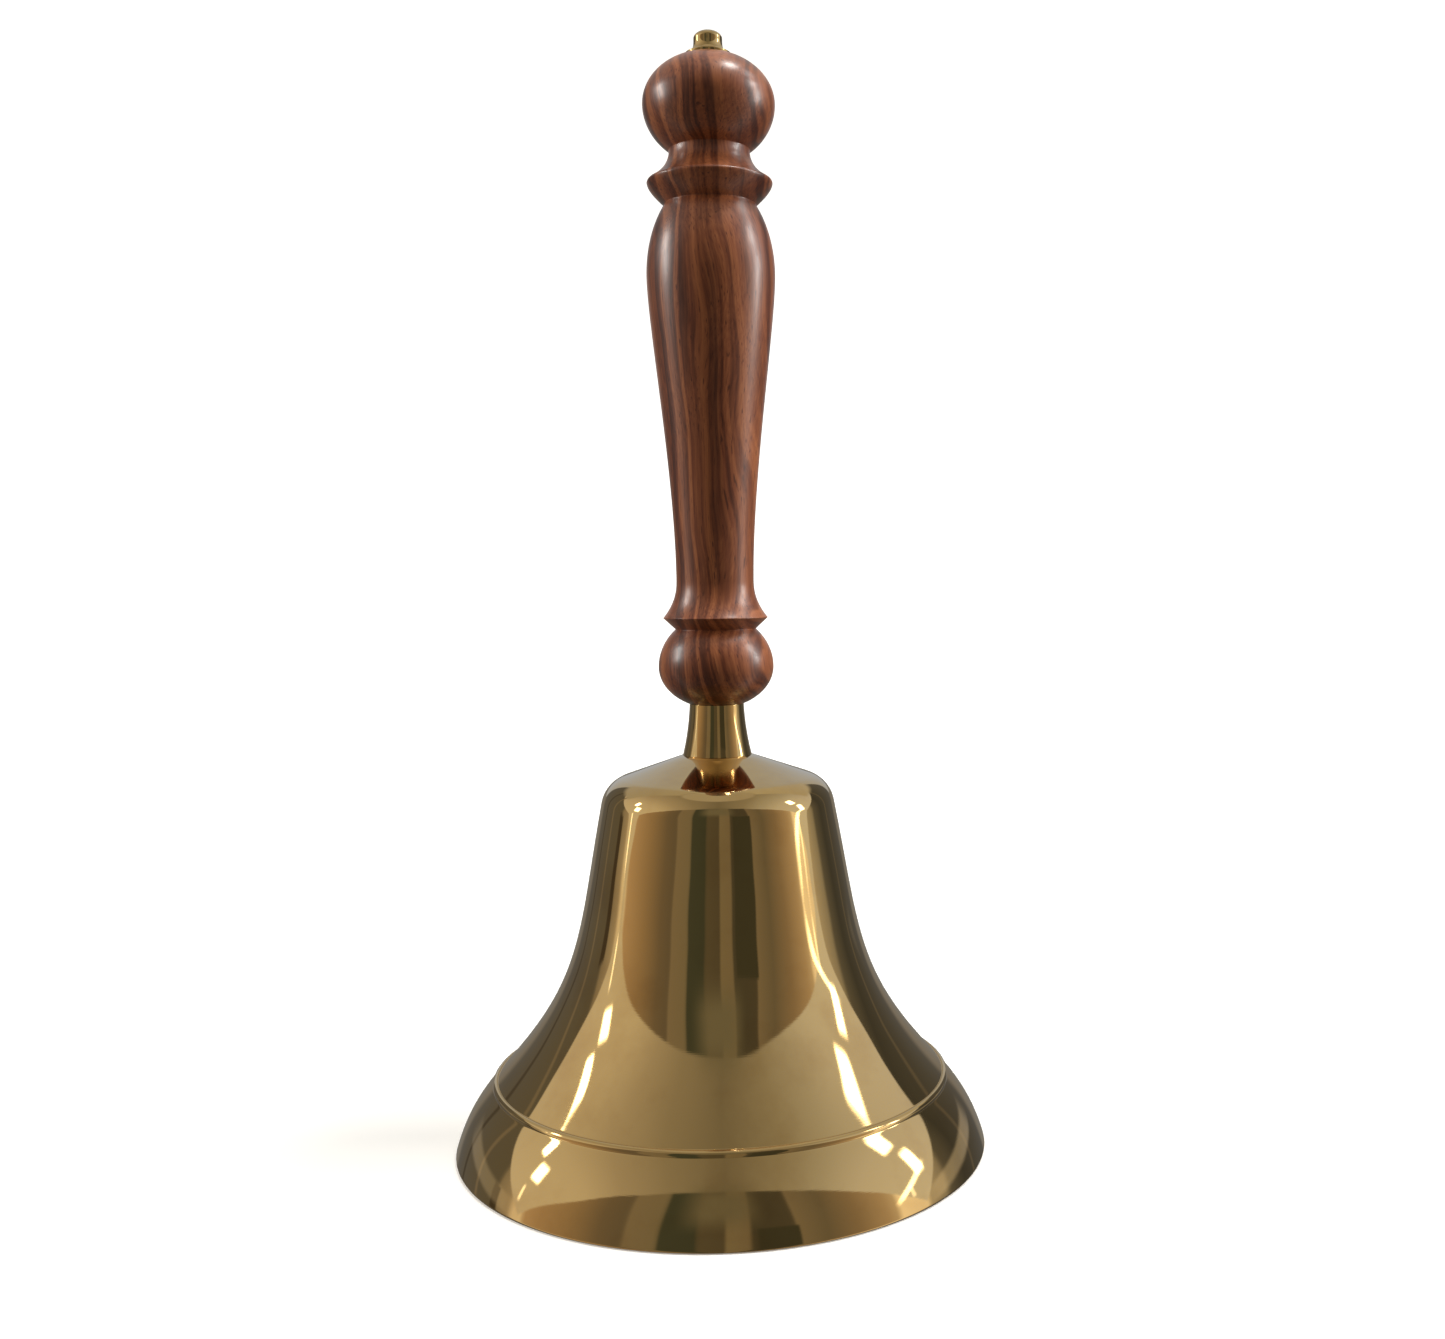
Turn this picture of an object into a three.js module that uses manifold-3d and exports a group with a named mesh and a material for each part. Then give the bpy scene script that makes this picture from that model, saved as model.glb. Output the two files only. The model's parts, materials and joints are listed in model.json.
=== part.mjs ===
// Brass hand bell on a turned rosewood handle, with a clapper hung from a fork inside.
// Millimetres, +Z up. The origin is the centre of the mouth, the face that the bell stands on.
import * as THREE from "three";
import { mergeVertices } from "three/addons/utils/BufferGeometryUtils.js";
import Module from "manifold-3d";

// Bell, outside. Leans are degrees from upright, and a reach is how far a lean is held along the wall.
const MOUTH_RADIUS = 67.5;
const LIP_ROUND = 0.8;
const LIP_LEAN = 16;
const LIP_REACH = 7.2;
const BEAD_HEIGHT = 18.1;
const BEAD_WIDTH = 1.9;
const BEAD_RISE = 0.6;
const FLARE_RADIUS = 57.4; // wall at the height of the bead
const FLARE_LEAN = 42.8;
const FLARE_REACH = 33.4;
const WAIST_LEAN = 11;
const WAIST_REACH = 34.6;
const SHOULDER_RADIUS = 28.7; // where the lines of the waist and the crown meet
const SHOULDER_ROUND = 8.4;
const CROWN_SLOPE = 19.2; // degrees from level
const CROWN_HEIGHT = 99.6; // flat seat of the ferrule

// Bell, wall thickness
const LIP_WALL = 3;
const BOW_WALL = 4.2; // sound bow, at the height of the bead
const BOW_FADE = 32; // height over which the sound bow thins to the waist
const WAIST_WALL = 2.8;
const CROWN_WALL = 4;

// Through rod and what clamps the bell to the handle
const ROD_RADIUS = 2.5;
const ROD_CLEARANCE = 0.4;
const THREAD_CLEARANCE = 0.15;
const LEATHER_WASHER_RADIUS = 9.5;
const LEATHER_WASHER_THICKNESS = 1.6;
const STEEL_WASHER_RADIUS = 8;
const STEEL_WASHER_THICKNESS = 1.2;
const NUT_ACROSS_FLATS = 8;
const NUT_HEIGHT = 4;

// Ferrule between the crown and the handle
const FERRULE_FOOT_RADIUS = 8.8;
const FERRULE_TOP_RADIUS = 6.9;
const FERRULE_HEIGHT = 13.2;
const FERRULE_FLARE = 0.15; // share of the taper that is left at half height
const SEAT_MARGIN = 0.2; // how far a seat runs past what stands on it
const TENON_RADIUS = 5;
const TENON_LENGTH = 9;
const TENON_CLEARANCE = 0.3;

// Handle, radii, and heights above the top of the ferrule
const LOWER_BALL_RADIUS = 14.6;
const LOWER_BALL_UNDER = 10.7; // half height below the widest place
const LOWER_BALL_OVER = 13.4; // half height above it
const GROOVE_RADIUS = 10.2;
const RING_RADIUS = 13.3;
const RING_HEIGHT = 21.8;
const RING_COVE_HEIGHT = 26;
const GRIP_NECK_RADIUS = 9.8;
const GRIP_NECK_HEIGHT = 30.9;
const GRIP_NECK_REACH = 27.3;
const GRIP_BELLY_RADIUS = 16.1;
const GRIP_BELLY_HEIGHT = 107.3;
const GRIP_BELLY_REACH = 12.5;
const GRIP_SHOULDER = 24.6; // half height of the grip's shoulder above the belly
const RIDGE_FOOT_HEIGHT = 124.6;
const RIDGE_RADIUS = 15.7;
const RIDGE_HEIGHT = 130;
const RIDGE_DROP = 1.7; // widest place to where the ridge turns in
const ARRIS_RADIUS = 15.5;
const ARRIS_HEIGHT = 130.4;
const COVE_RADIUS = 10.1;
const COVE_RISE = 3; // arris to where the cove turns upright
const UPPER_BALL_RADIUS = 16.5;
const UPPER_BALL_CENTRE = 149.1;
const UPPER_BALL_UNDER = 14.1;
const UPPER_BALL_OVER = 12.4;

// Finial nut
const FINIAL_FOOT_RADIUS = 5.8;
const FINIAL_FOOT_HEIGHT = 3.9;
const FINIAL_FOOT_EDGE = 0.8;
const FINIAL_RADIUS = 3.6;
const FINIAL_HEIGHT = 6.5;
const FINIAL_DOME = 2;
const FINIAL_CAP_WALL = 1.5;
const ROD_END_GAP = 0.4;

// Fork, pin and clapper
const FORK_RADIUS = 5.5;
const FORK_BOSS_HEIGHT = 7;
const FORK_THREAD_DEPTH = 6.4;
const FORK_DROP = 13.5; // top of the fork to the pin
const FORK_CHEEK_ROUND = 4.5;
const FORK_WIDTH = 9; // across the outer faces of the two cheeks
const PIN_RADIUS = 1.5;
const PIN_FIT = 0.15;
const PIN_HEAD_RADIUS = 2.5;
const PIN_HEAD_THICKNESS = 1.2;
const PIN_TAIL = 3; // length past the cheek
const SPLIT_PIN_WIRE = 0.35;
const SPLIT_PIN_FIT = 0.15;
const SPLIT_PIN_LEG = 3.4;
const SPLIT_PIN_EYE = 1.1;
const EYE_RADIUS = 4.2;
const EYE_THICKNESS = 3.2;
const EYE_SIDE_GAP = 0.3;
const EYE_BORE_GAP = 0.3;
const EYE_CROWN_GAP = 0.6; // above the eye, inside the fork
const EYE_NECK_INSET = 0.03; // keeps the neck of the eye inside the round bar
const SHANK_RADIUS = 2.25;
const SHANK_CHEEK_GAP = 1.5; // below the rounded cheeks
const CLAPPER_REACH = 53.5; // pin to the centre of the ball
const CLAPPER_BALL_RADIUS = 12;
const CLAPPER_BALL_FLAT = 3.9;
const COLLAR_RADIUS = 3.5;
const COLLAR_HEIGHT = 1.8;
const TAIL_RADIUS = 2;
const CLAPPER_NUT_RADIUS = 3.6;
const CLAPPER_NUT_HEIGHT = 3.4;
const CLAPPER_NUT_WALL = 1;

// Facets round the axis
const BELL_FACETS = 52;
const HANDLE_FACETS = 36;
const COLLAR_FACETS = 28;
const ROD_FACETS = 24;

// Heights that follow from the sizes above
const ROD_HOLE = ROD_RADIUS + ROD_CLEARANCE;
const THREAD_HOLE = ROD_RADIUS + THREAD_CLEARANCE;
const CROWN_INSIDE = CROWN_HEIGHT - CROWN_WALL;
const STEEL_WASHER_TOP = CROWN_INSIDE - LEATHER_WASHER_THICKNESS;
const NUT_TOP = STEEL_WASHER_TOP - STEEL_WASHER_THICKNESS;
const FORK_TOP = NUT_TOP - NUT_HEIGHT;
const PIVOT_HEIGHT = FORK_TOP - FORK_DROP;
const HANDLE_FOOT = CROWN_HEIGHT + FERRULE_HEIGHT;
const FINIAL_SEAT_RADIUS = FINIAL_FOOT_RADIUS + SEAT_MARGIN;
const FINIAL_SEAT =
  HANDLE_FOOT + UPPER_BALL_CENTRE + ellipseHeight(UPPER_BALL_RADIUS, UPPER_BALL_OVER, FINIAL_SEAT_RADIUS);
const ROD_TOP = FINIAL_SEAT + FINIAL_HEIGHT - FINIAL_CAP_WALL - ROD_END_GAP;
const ROD_BOTTOM = FORK_TOP - FORK_THREAD_DEPTH + ROD_END_GAP;
const HANDLE_FOOT_RADIUS = FERRULE_TOP_RADIUS + SEAT_MARGIN;
const LOWER_BALL_CENTRE = ellipseHeight(LOWER_BALL_RADIUS, LOWER_BALL_UNDER, HANDLE_FOOT_RADIUS);
const SLOT_WIDTH = EYE_THICKNESS + 2 * EYE_SIDE_GAP;
const SPLIT_PIN_HOLE = 2 * SPLIT_PIN_WIRE + SPLIT_PIN_FIT;

const BRASS = { color: 0xc9a14a, roughness: 0.12, metalness: 1 };
const STEEL = { color: 0xb4b6b8, roughness: 0.35, metalness: 1 };
const ROSEWOOD = { color: 0x6b3522, roughness: 0.35, metalness: 0 };
const LEATHER = { color: 0x5a3a24, roughness: 0.85, metalness: 0 };

const wasm = await Module();
wasm.setup();

const at = (radius, height) => new THREE.Vector2(radius, height);
const heading = (degrees) =>
  at(Math.cos(THREE.MathUtils.degToRad(degrees)), Math.sin(THREE.MathUtils.degToRad(degrees)));
const quarter = Math.PI / 2;

// Height above the centre of an ellipse, at a distance from its upright axis.
function ellipseHeight(radius, halfHeight, distance) {
  return halfHeight * Math.sqrt(1 - (distance / radius) ** 2);
}

// Points of a curve from one point to another that keeps a heading for a reach at each end.
function leaningCurve(from, headingOut, reachOut, to, headingIn, reachIn, steps) {
  const first = from.clone().addScaledVector(headingOut, reachOut);
  const second = to.clone().addScaledVector(headingIn, -reachIn);
  return new THREE.CubicBezierCurve(from, first, second, to).getPoints(steps);
}

const hollowCurve = (from, corner, to, steps) => new THREE.QuadraticBezierCurve(from, corner, to).getPoints(steps);

const ellipseArc = (height, radius, halfHeight, startAngle, endAngle, steps) =>
  new THREE.EllipseCurve(0, height, radius, halfHeight, startAngle, endAngle, endAngle < startAngle).getPoints(steps);

// A solid of revolution about Z from a closed outline that runs up its outside and down its inside.
function revolve(outline, facets) {
  const points = outline.filter((p, i) => i === 0 || p.distanceTo(outline[i - 1]) > 1e-6);
  const closed = points[0].x > 0 || points[points.length - 1].x > 0;
  const profile = closed ? [...points, points[0].clone()] : points;
  return new THREE.LatheGeometry(profile, facets).rotateX(quarter);
}

const ring = (inner, outer, bottom, top, facets) =>
  revolve([at(outer, bottom), at(outer, top), at(inner, top), at(inner, bottom)], facets);

const bar = (radius, bottom, top, facets) =>
  revolve([at(0, bottom), at(radius, bottom), at(radius, top), at(0, top)], facets);

// A cylinder along Y through a point of the XZ plane.
const crossBar = (radius, length, height, facets) =>
  new THREE.CylinderGeometry(radius, radius, length, facets).translate(0, 0, height);

// An outline in the XZ plane, made as thick as asked along Y, centred.
const plate = (shape, thickness, curveSegments) =>
  new THREE.ExtrudeGeometry(shape, { depth: thickness, bevelEnabled: false, curveSegments })
    .translate(0, 0, -thickness / 2)
    .rotateX(quarter);

function toSolid(geometry) {
  const bare = geometry.clone();
  bare.deleteAttribute("normal");
  bare.deleteAttribute("uv");
  const merged = mergeVertices(bare, 1e-4);
  return new wasm.Manifold(
    new wasm.Mesh({
      numProp: 3,
      vertProperties: new Float32Array(merged.attributes.position.array),
      triVerts: new Uint32Array(merged.index.array),
    }),
  );
}

function toGeometry(solid) {
  const made = solid.getMesh();
  const geometry = new THREE.BufferGeometry();
  geometry.setAttribute("position", new THREE.BufferAttribute(new Float32Array(made.vertProperties), 3));
  geometry.setIndex(new THREE.BufferAttribute(new Uint32Array(made.triVerts), 1));
  geometry.computeVertexNormals();
  return geometry;
}

function mesh(name, geometry, finish) {
  const made = new THREE.Mesh(geometry, new THREE.MeshStandardMaterial(finish));
  made.name = name;
  return made;
}

// The outside of the wall without its bead, from the lip up to the seat on the crown, in its runs.
function wallRuns() {
  const waistNormal = heading(WAIST_LEAN);
  const crownNormal = heading(90 - CROWN_SLOPE);
  const seatEdge = at(FERRULE_FOOT_RADIUS + SEAT_MARGIN, CROWN_HEIGHT);
  const crownFall = (SHOULDER_RADIUS - seatEdge.x) * Math.tan(THREE.MathUtils.degToRad(CROWN_SLOPE));
  const corner = at(SHOULDER_RADIUS, CROWN_HEIGHT - crownFall);
  const centre = corner
    .clone()
    .addScaledVector(waistNormal.clone().add(crownNormal), -SHOULDER_ROUND / (1 + waistNormal.dot(crownNormal)));
  const waistTop = centre.clone().addScaledVector(waistNormal, SHOULDER_ROUND);
  const lipFoot = at(MOUTH_RADIUS, LIP_ROUND);
  const beadPoint = at(FLARE_RADIUS, BEAD_HEIGHT);
  return {
    lip: leaningCurve(
      lipFoot, heading(90 + LIP_LEAN), LIP_REACH,
      beadPoint, heading(90 + FLARE_LEAN), LIP_REACH, 5,
    ),
    flare: leaningCurve(
      beadPoint, heading(90 + FLARE_LEAN), FLARE_REACH,
      waistTop, heading(90 + WAIST_LEAN), WAIST_REACH, 12,
    ),
    shoulder: new THREE.EllipseCurve(
      centre.x, centre.y, SHOULDER_ROUND, SHOULDER_ROUND,
      waistNormal.angle(), crownNormal.angle(),
    ).getPoints(5),
    crown: [seatEdge],
  };
}

// Wall thickness at a height: from the lip to the sound bow, then down to the waist.
function wallAt(height) {
  const { lerp, smoothstep } = THREE.MathUtils;
  return height < BEAD_HEIGHT
    ? lerp(LIP_WALL, BOW_WALL, smoothstep(height, 0, BEAD_HEIGHT))
    : lerp(BOW_WALL, WAIST_WALL, smoothstep(height, BEAD_HEIGHT, BEAD_HEIGHT + BOW_FADE));
}

// The part of a rising line that lies between two heights, with its ends on them.
function betweenHeights(points, low, high) {
  const kept = [];
  points.forEach((p, i) => {
    const q = points[i + 1];
    if (p.y >= low && p.y <= high) kept.push(p);
    if (!q) return;
    for (const level of [low, high])
      if ((p.y - level) * (q.y - level) < 0) kept.push(p.clone().lerp(q, (level - p.y) / (q.y - p.y)));
  });
  return kept;
}

// The half round bead, on the wall where the lip and the flare meet.
function beadArc() {
  const half = BEAD_WIDTH / 2;
  const round = (half ** 2 + BEAD_RISE ** 2) / (2 * BEAD_RISE);
  const outward = heading(FLARE_LEAN);
  const centre = at(FLARE_RADIUS, BEAD_HEIGHT).addScaledVector(outward, BEAD_RISE - round);
  const spread = Math.asin(half / round);
  const middle = outward.angle();
  return new THREE.EllipseCurve(
    centre.x, centre.y, round, round, middle - spread, middle + spread,
  ).getPoints(4);
}

function bellGeometry() {
  const { lip, flare, shoulder, crown } = wallRuns();
  const lipEdge = new THREE.EllipseCurve(
    MOUTH_RADIUS - LIP_ROUND, LIP_ROUND, LIP_ROUND, LIP_ROUND, -quarter, 0,
  ).getPoints(2);
  const outside = [...lipEdge, ...lip.slice(1, -1), ...beadArc(), ...flare.slice(1), ...shoulder.slice(1), ...crown];
  const wall = [...lip, ...flare.slice(1), ...shoulder.slice(1), ...crown];
  const inside = wall.map((p, i) => {
    const before = wall[Math.max(i - 1, 0)];
    const after = wall[Math.min(i + 1, wall.length - 1)];
    const along = after.clone().sub(before).normalize();
    return p.clone().addScaledVector(at(along.y, -along.x), -wallAt(p.y));
  });
  return revolve(
    [
      ...outside,
      at(ROD_HOLE, CROWN_HEIGHT),
      at(ROD_HOLE, CROWN_INSIDE),
      ...betweenHeights(inside, 0, CROWN_INSIDE).reverse(),
    ],
    BELL_FACETS,
  );
}

function ferruleGeometry() {
  const bore = TENON_RADIUS + TENON_CLEARANCE;
  const floor = HANDLE_FOOT - TENON_LENGTH - TENON_CLEARANCE;
  const taper = FERRULE_FOOT_RADIUS - FERRULE_TOP_RADIUS;
  const side = hollowCurve(
    at(FERRULE_FOOT_RADIUS, CROWN_HEIGHT),
    at(FERRULE_TOP_RADIUS + FERRULE_FLARE * taper, CROWN_HEIGHT + FERRULE_HEIGHT / 2),
    at(FERRULE_TOP_RADIUS, HANDLE_FOOT),
    6,
  );
  return revolve(
    [...side, at(bore, HANDLE_FOOT), at(bore, floor), at(ROD_HOLE, floor), at(ROD_HOLE, CROWN_HEIGHT)],
    COLLAR_FACETS,
  );
}

// Angle on an ellipse's upper half where it has a given radius.
const angleAt = (ellipseRadius, radius) => Math.acos(radius / ellipseRadius);

function lowerBall() {
  const foot = -angleAt(LOWER_BALL_RADIUS, HANDLE_FOOT_RADIUS);
  const top = angleAt(LOWER_BALL_RADIUS, GROOVE_RADIUS);
  return [
    ...ellipseArc(LOWER_BALL_CENTRE, LOWER_BALL_RADIUS, LOWER_BALL_UNDER, foot, 0, 6),
    ...ellipseArc(LOWER_BALL_CENTRE, LOWER_BALL_RADIUS, LOWER_BALL_OVER, 0, top, 4),
  ];
}

function grip() {
  const neck = at(GRIP_NECK_RADIUS, GRIP_NECK_HEIGHT);
  const belly = at(GRIP_BELLY_RADIUS, GRIP_BELLY_HEIGHT);
  const upright = at(0, 1);
  const top = Math.asin((RIDGE_FOOT_HEIGHT - GRIP_BELLY_HEIGHT) / GRIP_SHOULDER);
  return [
    ...hollowCurve(at(RING_RADIUS, RING_HEIGHT), at(GRIP_NECK_RADIUS, RING_COVE_HEIGHT), neck, 5),
    ...leaningCurve(neck, upright, GRIP_NECK_REACH, belly, upright, GRIP_BELLY_REACH, 9),
    ...ellipseArc(GRIP_BELLY_HEIGHT, GRIP_BELLY_RADIUS, GRIP_SHOULDER, 0, top, 5),
  ];
}

function ridgeAndUpperBall() {
  const ridgeFoot = ellipseHeight(GRIP_SHOULDER, GRIP_BELLY_RADIUS, RIDGE_FOOT_HEIGHT - GRIP_BELLY_HEIGHT);
  const coveTop =
    UPPER_BALL_CENTRE - ellipseHeight(UPPER_BALL_RADIUS, UPPER_BALL_UNDER, COVE_RADIUS);
  const under = -angleAt(UPPER_BALL_RADIUS, COVE_RADIUS);
  const top = angleAt(UPPER_BALL_RADIUS, FINIAL_SEAT_RADIUS);
  return [
    ...hollowCurve(
      at(ridgeFoot, RIDGE_FOOT_HEIGHT), at(RIDGE_RADIUS, RIDGE_HEIGHT - RIDGE_DROP),
      at(RIDGE_RADIUS, RIDGE_HEIGHT), 4,
    ),
    ...hollowCurve(
      at(ARRIS_RADIUS, ARRIS_HEIGHT), at(COVE_RADIUS, ARRIS_HEIGHT + COVE_RISE),
      at(COVE_RADIUS, coveTop), 5,
    ),
    ...ellipseArc(UPPER_BALL_CENTRE, UPPER_BALL_RADIUS, UPPER_BALL_UNDER, under, 0, 6),
    ...ellipseArc(UPPER_BALL_CENTRE, UPPER_BALL_RADIUS, UPPER_BALL_OVER, 0, top, 6),
  ];
}

function handleGeometry() {
  const outside = [...lowerBall(), ...grip(), ...ridgeAndUpperBall()].map((p) => at(p.x, HANDLE_FOOT + p.y));
  const tenonEnd = HANDLE_FOOT - TENON_LENGTH;
  return revolve(
    [
      at(TENON_RADIUS, tenonEnd),
      at(TENON_RADIUS, HANDLE_FOOT),
      ...outside,
      at(ROD_HOLE, FINIAL_SEAT),
      at(ROD_HOLE, tenonEnd),
    ],
    HANDLE_FACETS,
  );
}

function finialGeometry() {
  const top = FINIAL_SEAT + FINIAL_HEIGHT;
  const hole = top - FINIAL_CAP_WALL;
  return revolve(
    [
      at(FINIAL_FOOT_RADIUS, FINIAL_SEAT),
      ...hollowCurve(
        at(FINIAL_FOOT_RADIUS, FINIAL_SEAT + FINIAL_FOOT_EDGE),
        at(FINIAL_RADIUS, FINIAL_SEAT + FINIAL_FOOT_EDGE),
        at(FINIAL_RADIUS, FINIAL_SEAT + FINIAL_FOOT_HEIGHT),
        4,
      ),
      ...ellipseArc(top - FINIAL_DOME, FINIAL_RADIUS, FINIAL_DOME, 0, quarter, 5).slice(0, -1),
      at(0, top),
      at(0, hole),
      at(THREAD_HOLE, hole),
      at(THREAD_HOLE, FINIAL_SEAT),
    ],
    COLLAR_FACETS,
  );
}

function hexNutGeometry(acrossFlats, height, hole) {
  const corner = acrossFlats / Math.sqrt(3);
  const shape = new THREE.Shape(
    Array.from({ length: 6 }, (_, i) => heading(60 * i).multiplyScalar(corner)),
  );
  shape.holes.push(new THREE.Path().absarc(0, 0, hole, 0, 2 * Math.PI));
  return new THREE.ExtrudeGeometry(shape, { depth: height, bevelEnabled: false, curveSegments: ROD_FACETS / 2 });
}

// The fork: a round bar with two flats, a slot for the eye and rounded cheek ends, about the pin.
function forkGeometry() {
  const top = FORK_DROP;
  const cheekTop = top - FORK_BOSS_HEIGHT;
  const wide = 2 * FORK_RADIUS;
  const side = new THREE.Shape();
  side.moveTo(wide, top).lineTo(-wide, top).lineTo(-wide, cheekTop).lineTo(-FORK_CHEEK_ROUND, cheekTop);
  side.absarc(0, 0, FORK_CHEEK_ROUND, Math.PI, 2 * Math.PI);
  side.lineTo(FORK_CHEEK_ROUND, cheekTop).lineTo(wide, cheekTop);
  const slotTop = EYE_RADIUS + EYE_CROWN_GAP;
  const cutDepth = slotTop + 2 * FORK_CHEEK_ROUND;
  const slot = new THREE.BoxGeometry(2 * wide, SLOT_WIDTH, cutDepth).translate(0, 0, slotTop - cutDepth / 2);
  const flatDepth = cheekTop + 2 * FORK_CHEEK_ROUND;
  const flat = new THREE.BoxGeometry(2 * wide, wide, flatDepth).translate(0, 0, cheekTop - flatDepth / 2);
  const flatShift = FORK_WIDTH / 2 + wide / 2;
  const cuts = [
    slot,
    flat.clone().translate(0, flatShift, 0),
    flat.clone().translate(0, -flatShift, 0),
    crossBar(PIN_RADIUS + PIN_FIT, 2 * wide, 0, ROD_FACETS),
    bar(THREAD_HOLE, top - FORK_THREAD_DEPTH, 2 * top, ROD_FACETS),
  ];
  const blank = toSolid(bar(FORK_RADIUS, -FORK_CHEEK_ROUND, top, COLLAR_FACETS)).intersect(
    toSolid(plate(side, 2 * wide, 8)),
  );
  return toGeometry(cuts.reduce((solid, cut) => solid.subtract(toSolid(cut)), blank));
}

// The headed pin along Y, with its cross hole for the split pin past the far cheek.
function pinGeometry() {
  const cheek = FORK_WIDTH / 2;
  const end = cheek + PIN_TAIL;
  const pin = revolve(
    [
      at(0, -cheek - PIN_HEAD_THICKNESS),
      at(PIN_HEAD_RADIUS, -cheek - PIN_HEAD_THICKNESS),
      at(PIN_HEAD_RADIUS, -cheek),
      at(PIN_RADIUS, -cheek),
      at(PIN_RADIUS, end),
      at(0, end),
    ],
    ROD_FACETS,
  ).rotateX(-quarter);
  const hole = bar(SPLIT_PIN_HOLE, -2 * PIN_RADIUS, 2 * PIN_RADIUS, ROD_FACETS / 2);
  return toGeometry(toSolid(pin).subtract(toSolid(hole.translate(0, splitPinStation(), 0))));
}

const splitPinStation = () => FORK_WIDTH / 2 + PIN_TAIL / 2;

// The split pin: one wire, eye above the clapper pin, two legs through it and spread below.
function splitPinGeometry() {
  const leg = SPLIT_PIN_WIRE + SPLIT_PIN_FIT / 2;
  const eyeHeight = PIN_RADIUS + SPLIT_PIN_FIT + 2 * SPLIT_PIN_EYE;
  const side = (sign) => [
    new THREE.Vector3(sign * SPLIT_PIN_LEG / 2, 0, -SPLIT_PIN_LEG),
    new THREE.Vector3(sign * leg, 0, -PIN_RADIUS - 2 * SPLIT_PIN_WIRE),
    new THREE.Vector3(sign * leg, 0, 0),
    new THREE.Vector3(sign * leg, 0, PIN_RADIUS),
    new THREE.Vector3(sign * SPLIT_PIN_EYE, 0, eyeHeight - SPLIT_PIN_EYE / 2),
  ];
  const eyeTop = new THREE.Vector3(0, 0, eyeHeight + SPLIT_PIN_EYE / 2);
  const path = new THREE.CatmullRomCurve3([...side(-1), eyeTop, ...side(1).reverse()]);
  const wire = new THREE.Shape().absarc(0, 0, SPLIT_PIN_WIRE, 0, 2 * Math.PI);
  return new THREE.ExtrudeGeometry(wire, { steps: 30, extrudePath: path, curveSegments: 3 });
}

// The shank hangs from the pin at its own origin: flat eye, round bar, collar and threaded tail.
function shankGeometry() {
  const barTop = -(FORK_CHEEK_ROUND + SHANK_CHEEK_GAP);
  const ballTop = -CLAPPER_REACH + ballFlatHeight();
  const tailEnd = -CLAPPER_REACH - ballFlatHeight() - CLAPPER_NUT_HEIGHT + CLAPPER_NUT_WALL + ROD_END_GAP;
  const turned = revolve(
    [
      at(0, tailEnd),
      at(TAIL_RADIUS, tailEnd),
      at(TAIL_RADIUS, ballTop),
      at(COLLAR_RADIUS, ballTop),
      at(COLLAR_RADIUS, ballTop + COLLAR_HEIGHT),
      at(SHANK_RADIUS, ballTop + COLLAR_HEIGHT),
      at(SHANK_RADIUS, barTop),
      at(0, barTop),
    ],
    ROD_FACETS,
  );
  const neck = ellipseHeight(SHANK_RADIUS, SHANK_RADIUS, EYE_THICKNESS / 2) - EYE_NECK_INSET;
  const meet = Math.asin(neck / EYE_RADIUS);
  const eye = new THREE.Shape();
  eye.absarc(0, 0, EYE_RADIUS, meet - quarter, 3 * quarter - meet);
  eye.lineTo(-neck, barTop - SHANK_RADIUS).lineTo(neck, barTop - SHANK_RADIUS);
  eye.holes.push(new THREE.Path().absarc(0, 0, PIN_RADIUS + EYE_BORE_GAP, 0, 2 * Math.PI));
  return toGeometry(toSolid(plate(eye, EYE_THICKNESS, 12)).add(toSolid(turned)));
}

const ballFlatHeight = () => ellipseHeight(CLAPPER_BALL_RADIUS, CLAPPER_BALL_RADIUS, CLAPPER_BALL_FLAT);

function clapperBallGeometry() {
  const flat = angleAt(CLAPPER_BALL_RADIUS, CLAPPER_BALL_FLAT);
  const hole = TAIL_RADIUS + THREAD_CLEARANCE;
  const side = ellipseArc(-CLAPPER_REACH, CLAPPER_BALL_RADIUS, CLAPPER_BALL_RADIUS, -flat, flat, 10);
  return revolve(
    [...side, at(hole, -CLAPPER_REACH + ballFlatHeight()), at(hole, -CLAPPER_REACH - ballFlatHeight())],
    COLLAR_FACETS,
  );
}

function clapperNutGeometry() {
  const top = -CLAPPER_REACH - ballFlatHeight();
  const bottom = top - CLAPPER_NUT_HEIGHT;
  const hole = TAIL_RADIUS + THREAD_CLEARANCE;
  return revolve(
    [
      at(0, bottom),
      ...ellipseArc(bottom + CLAPPER_NUT_WALL, CLAPPER_NUT_RADIUS, CLAPPER_NUT_WALL, -quarter, 0, 4).slice(1),
      at(CLAPPER_NUT_RADIUS, top),
      at(hole, top),
      at(hole, bottom + CLAPPER_NUT_WALL),
      at(0, bottom + CLAPPER_NUT_WALL),
    ],
    ROD_FACETS,
  );
}

const clapper = new THREE.Group();
clapper.position.z = PIVOT_HEIGHT;
clapper.add(
  mesh("clapper_shank", shankGeometry(), STEEL),
  mesh("clapper_ball", clapperBallGeometry(), BRASS),
  mesh("clapper_nut", clapperNutGeometry(), BRASS),
);

const hanger = new THREE.Group();
hanger.position.z = PIVOT_HEIGHT;
const splitPin = mesh("split_pin", splitPinGeometry(), STEEL);
splitPin.position.y = splitPinStation();
hanger.add(mesh("clapper_fork", forkGeometry(), STEEL), mesh("clapper_pin", pinGeometry(), STEEL), splitPin);

const crownNut = mesh("crown_nut", hexNutGeometry(NUT_ACROSS_FLATS, NUT_HEIGHT, THREAD_HOLE), STEEL);
crownNut.position.z = FORK_TOP;

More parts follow.
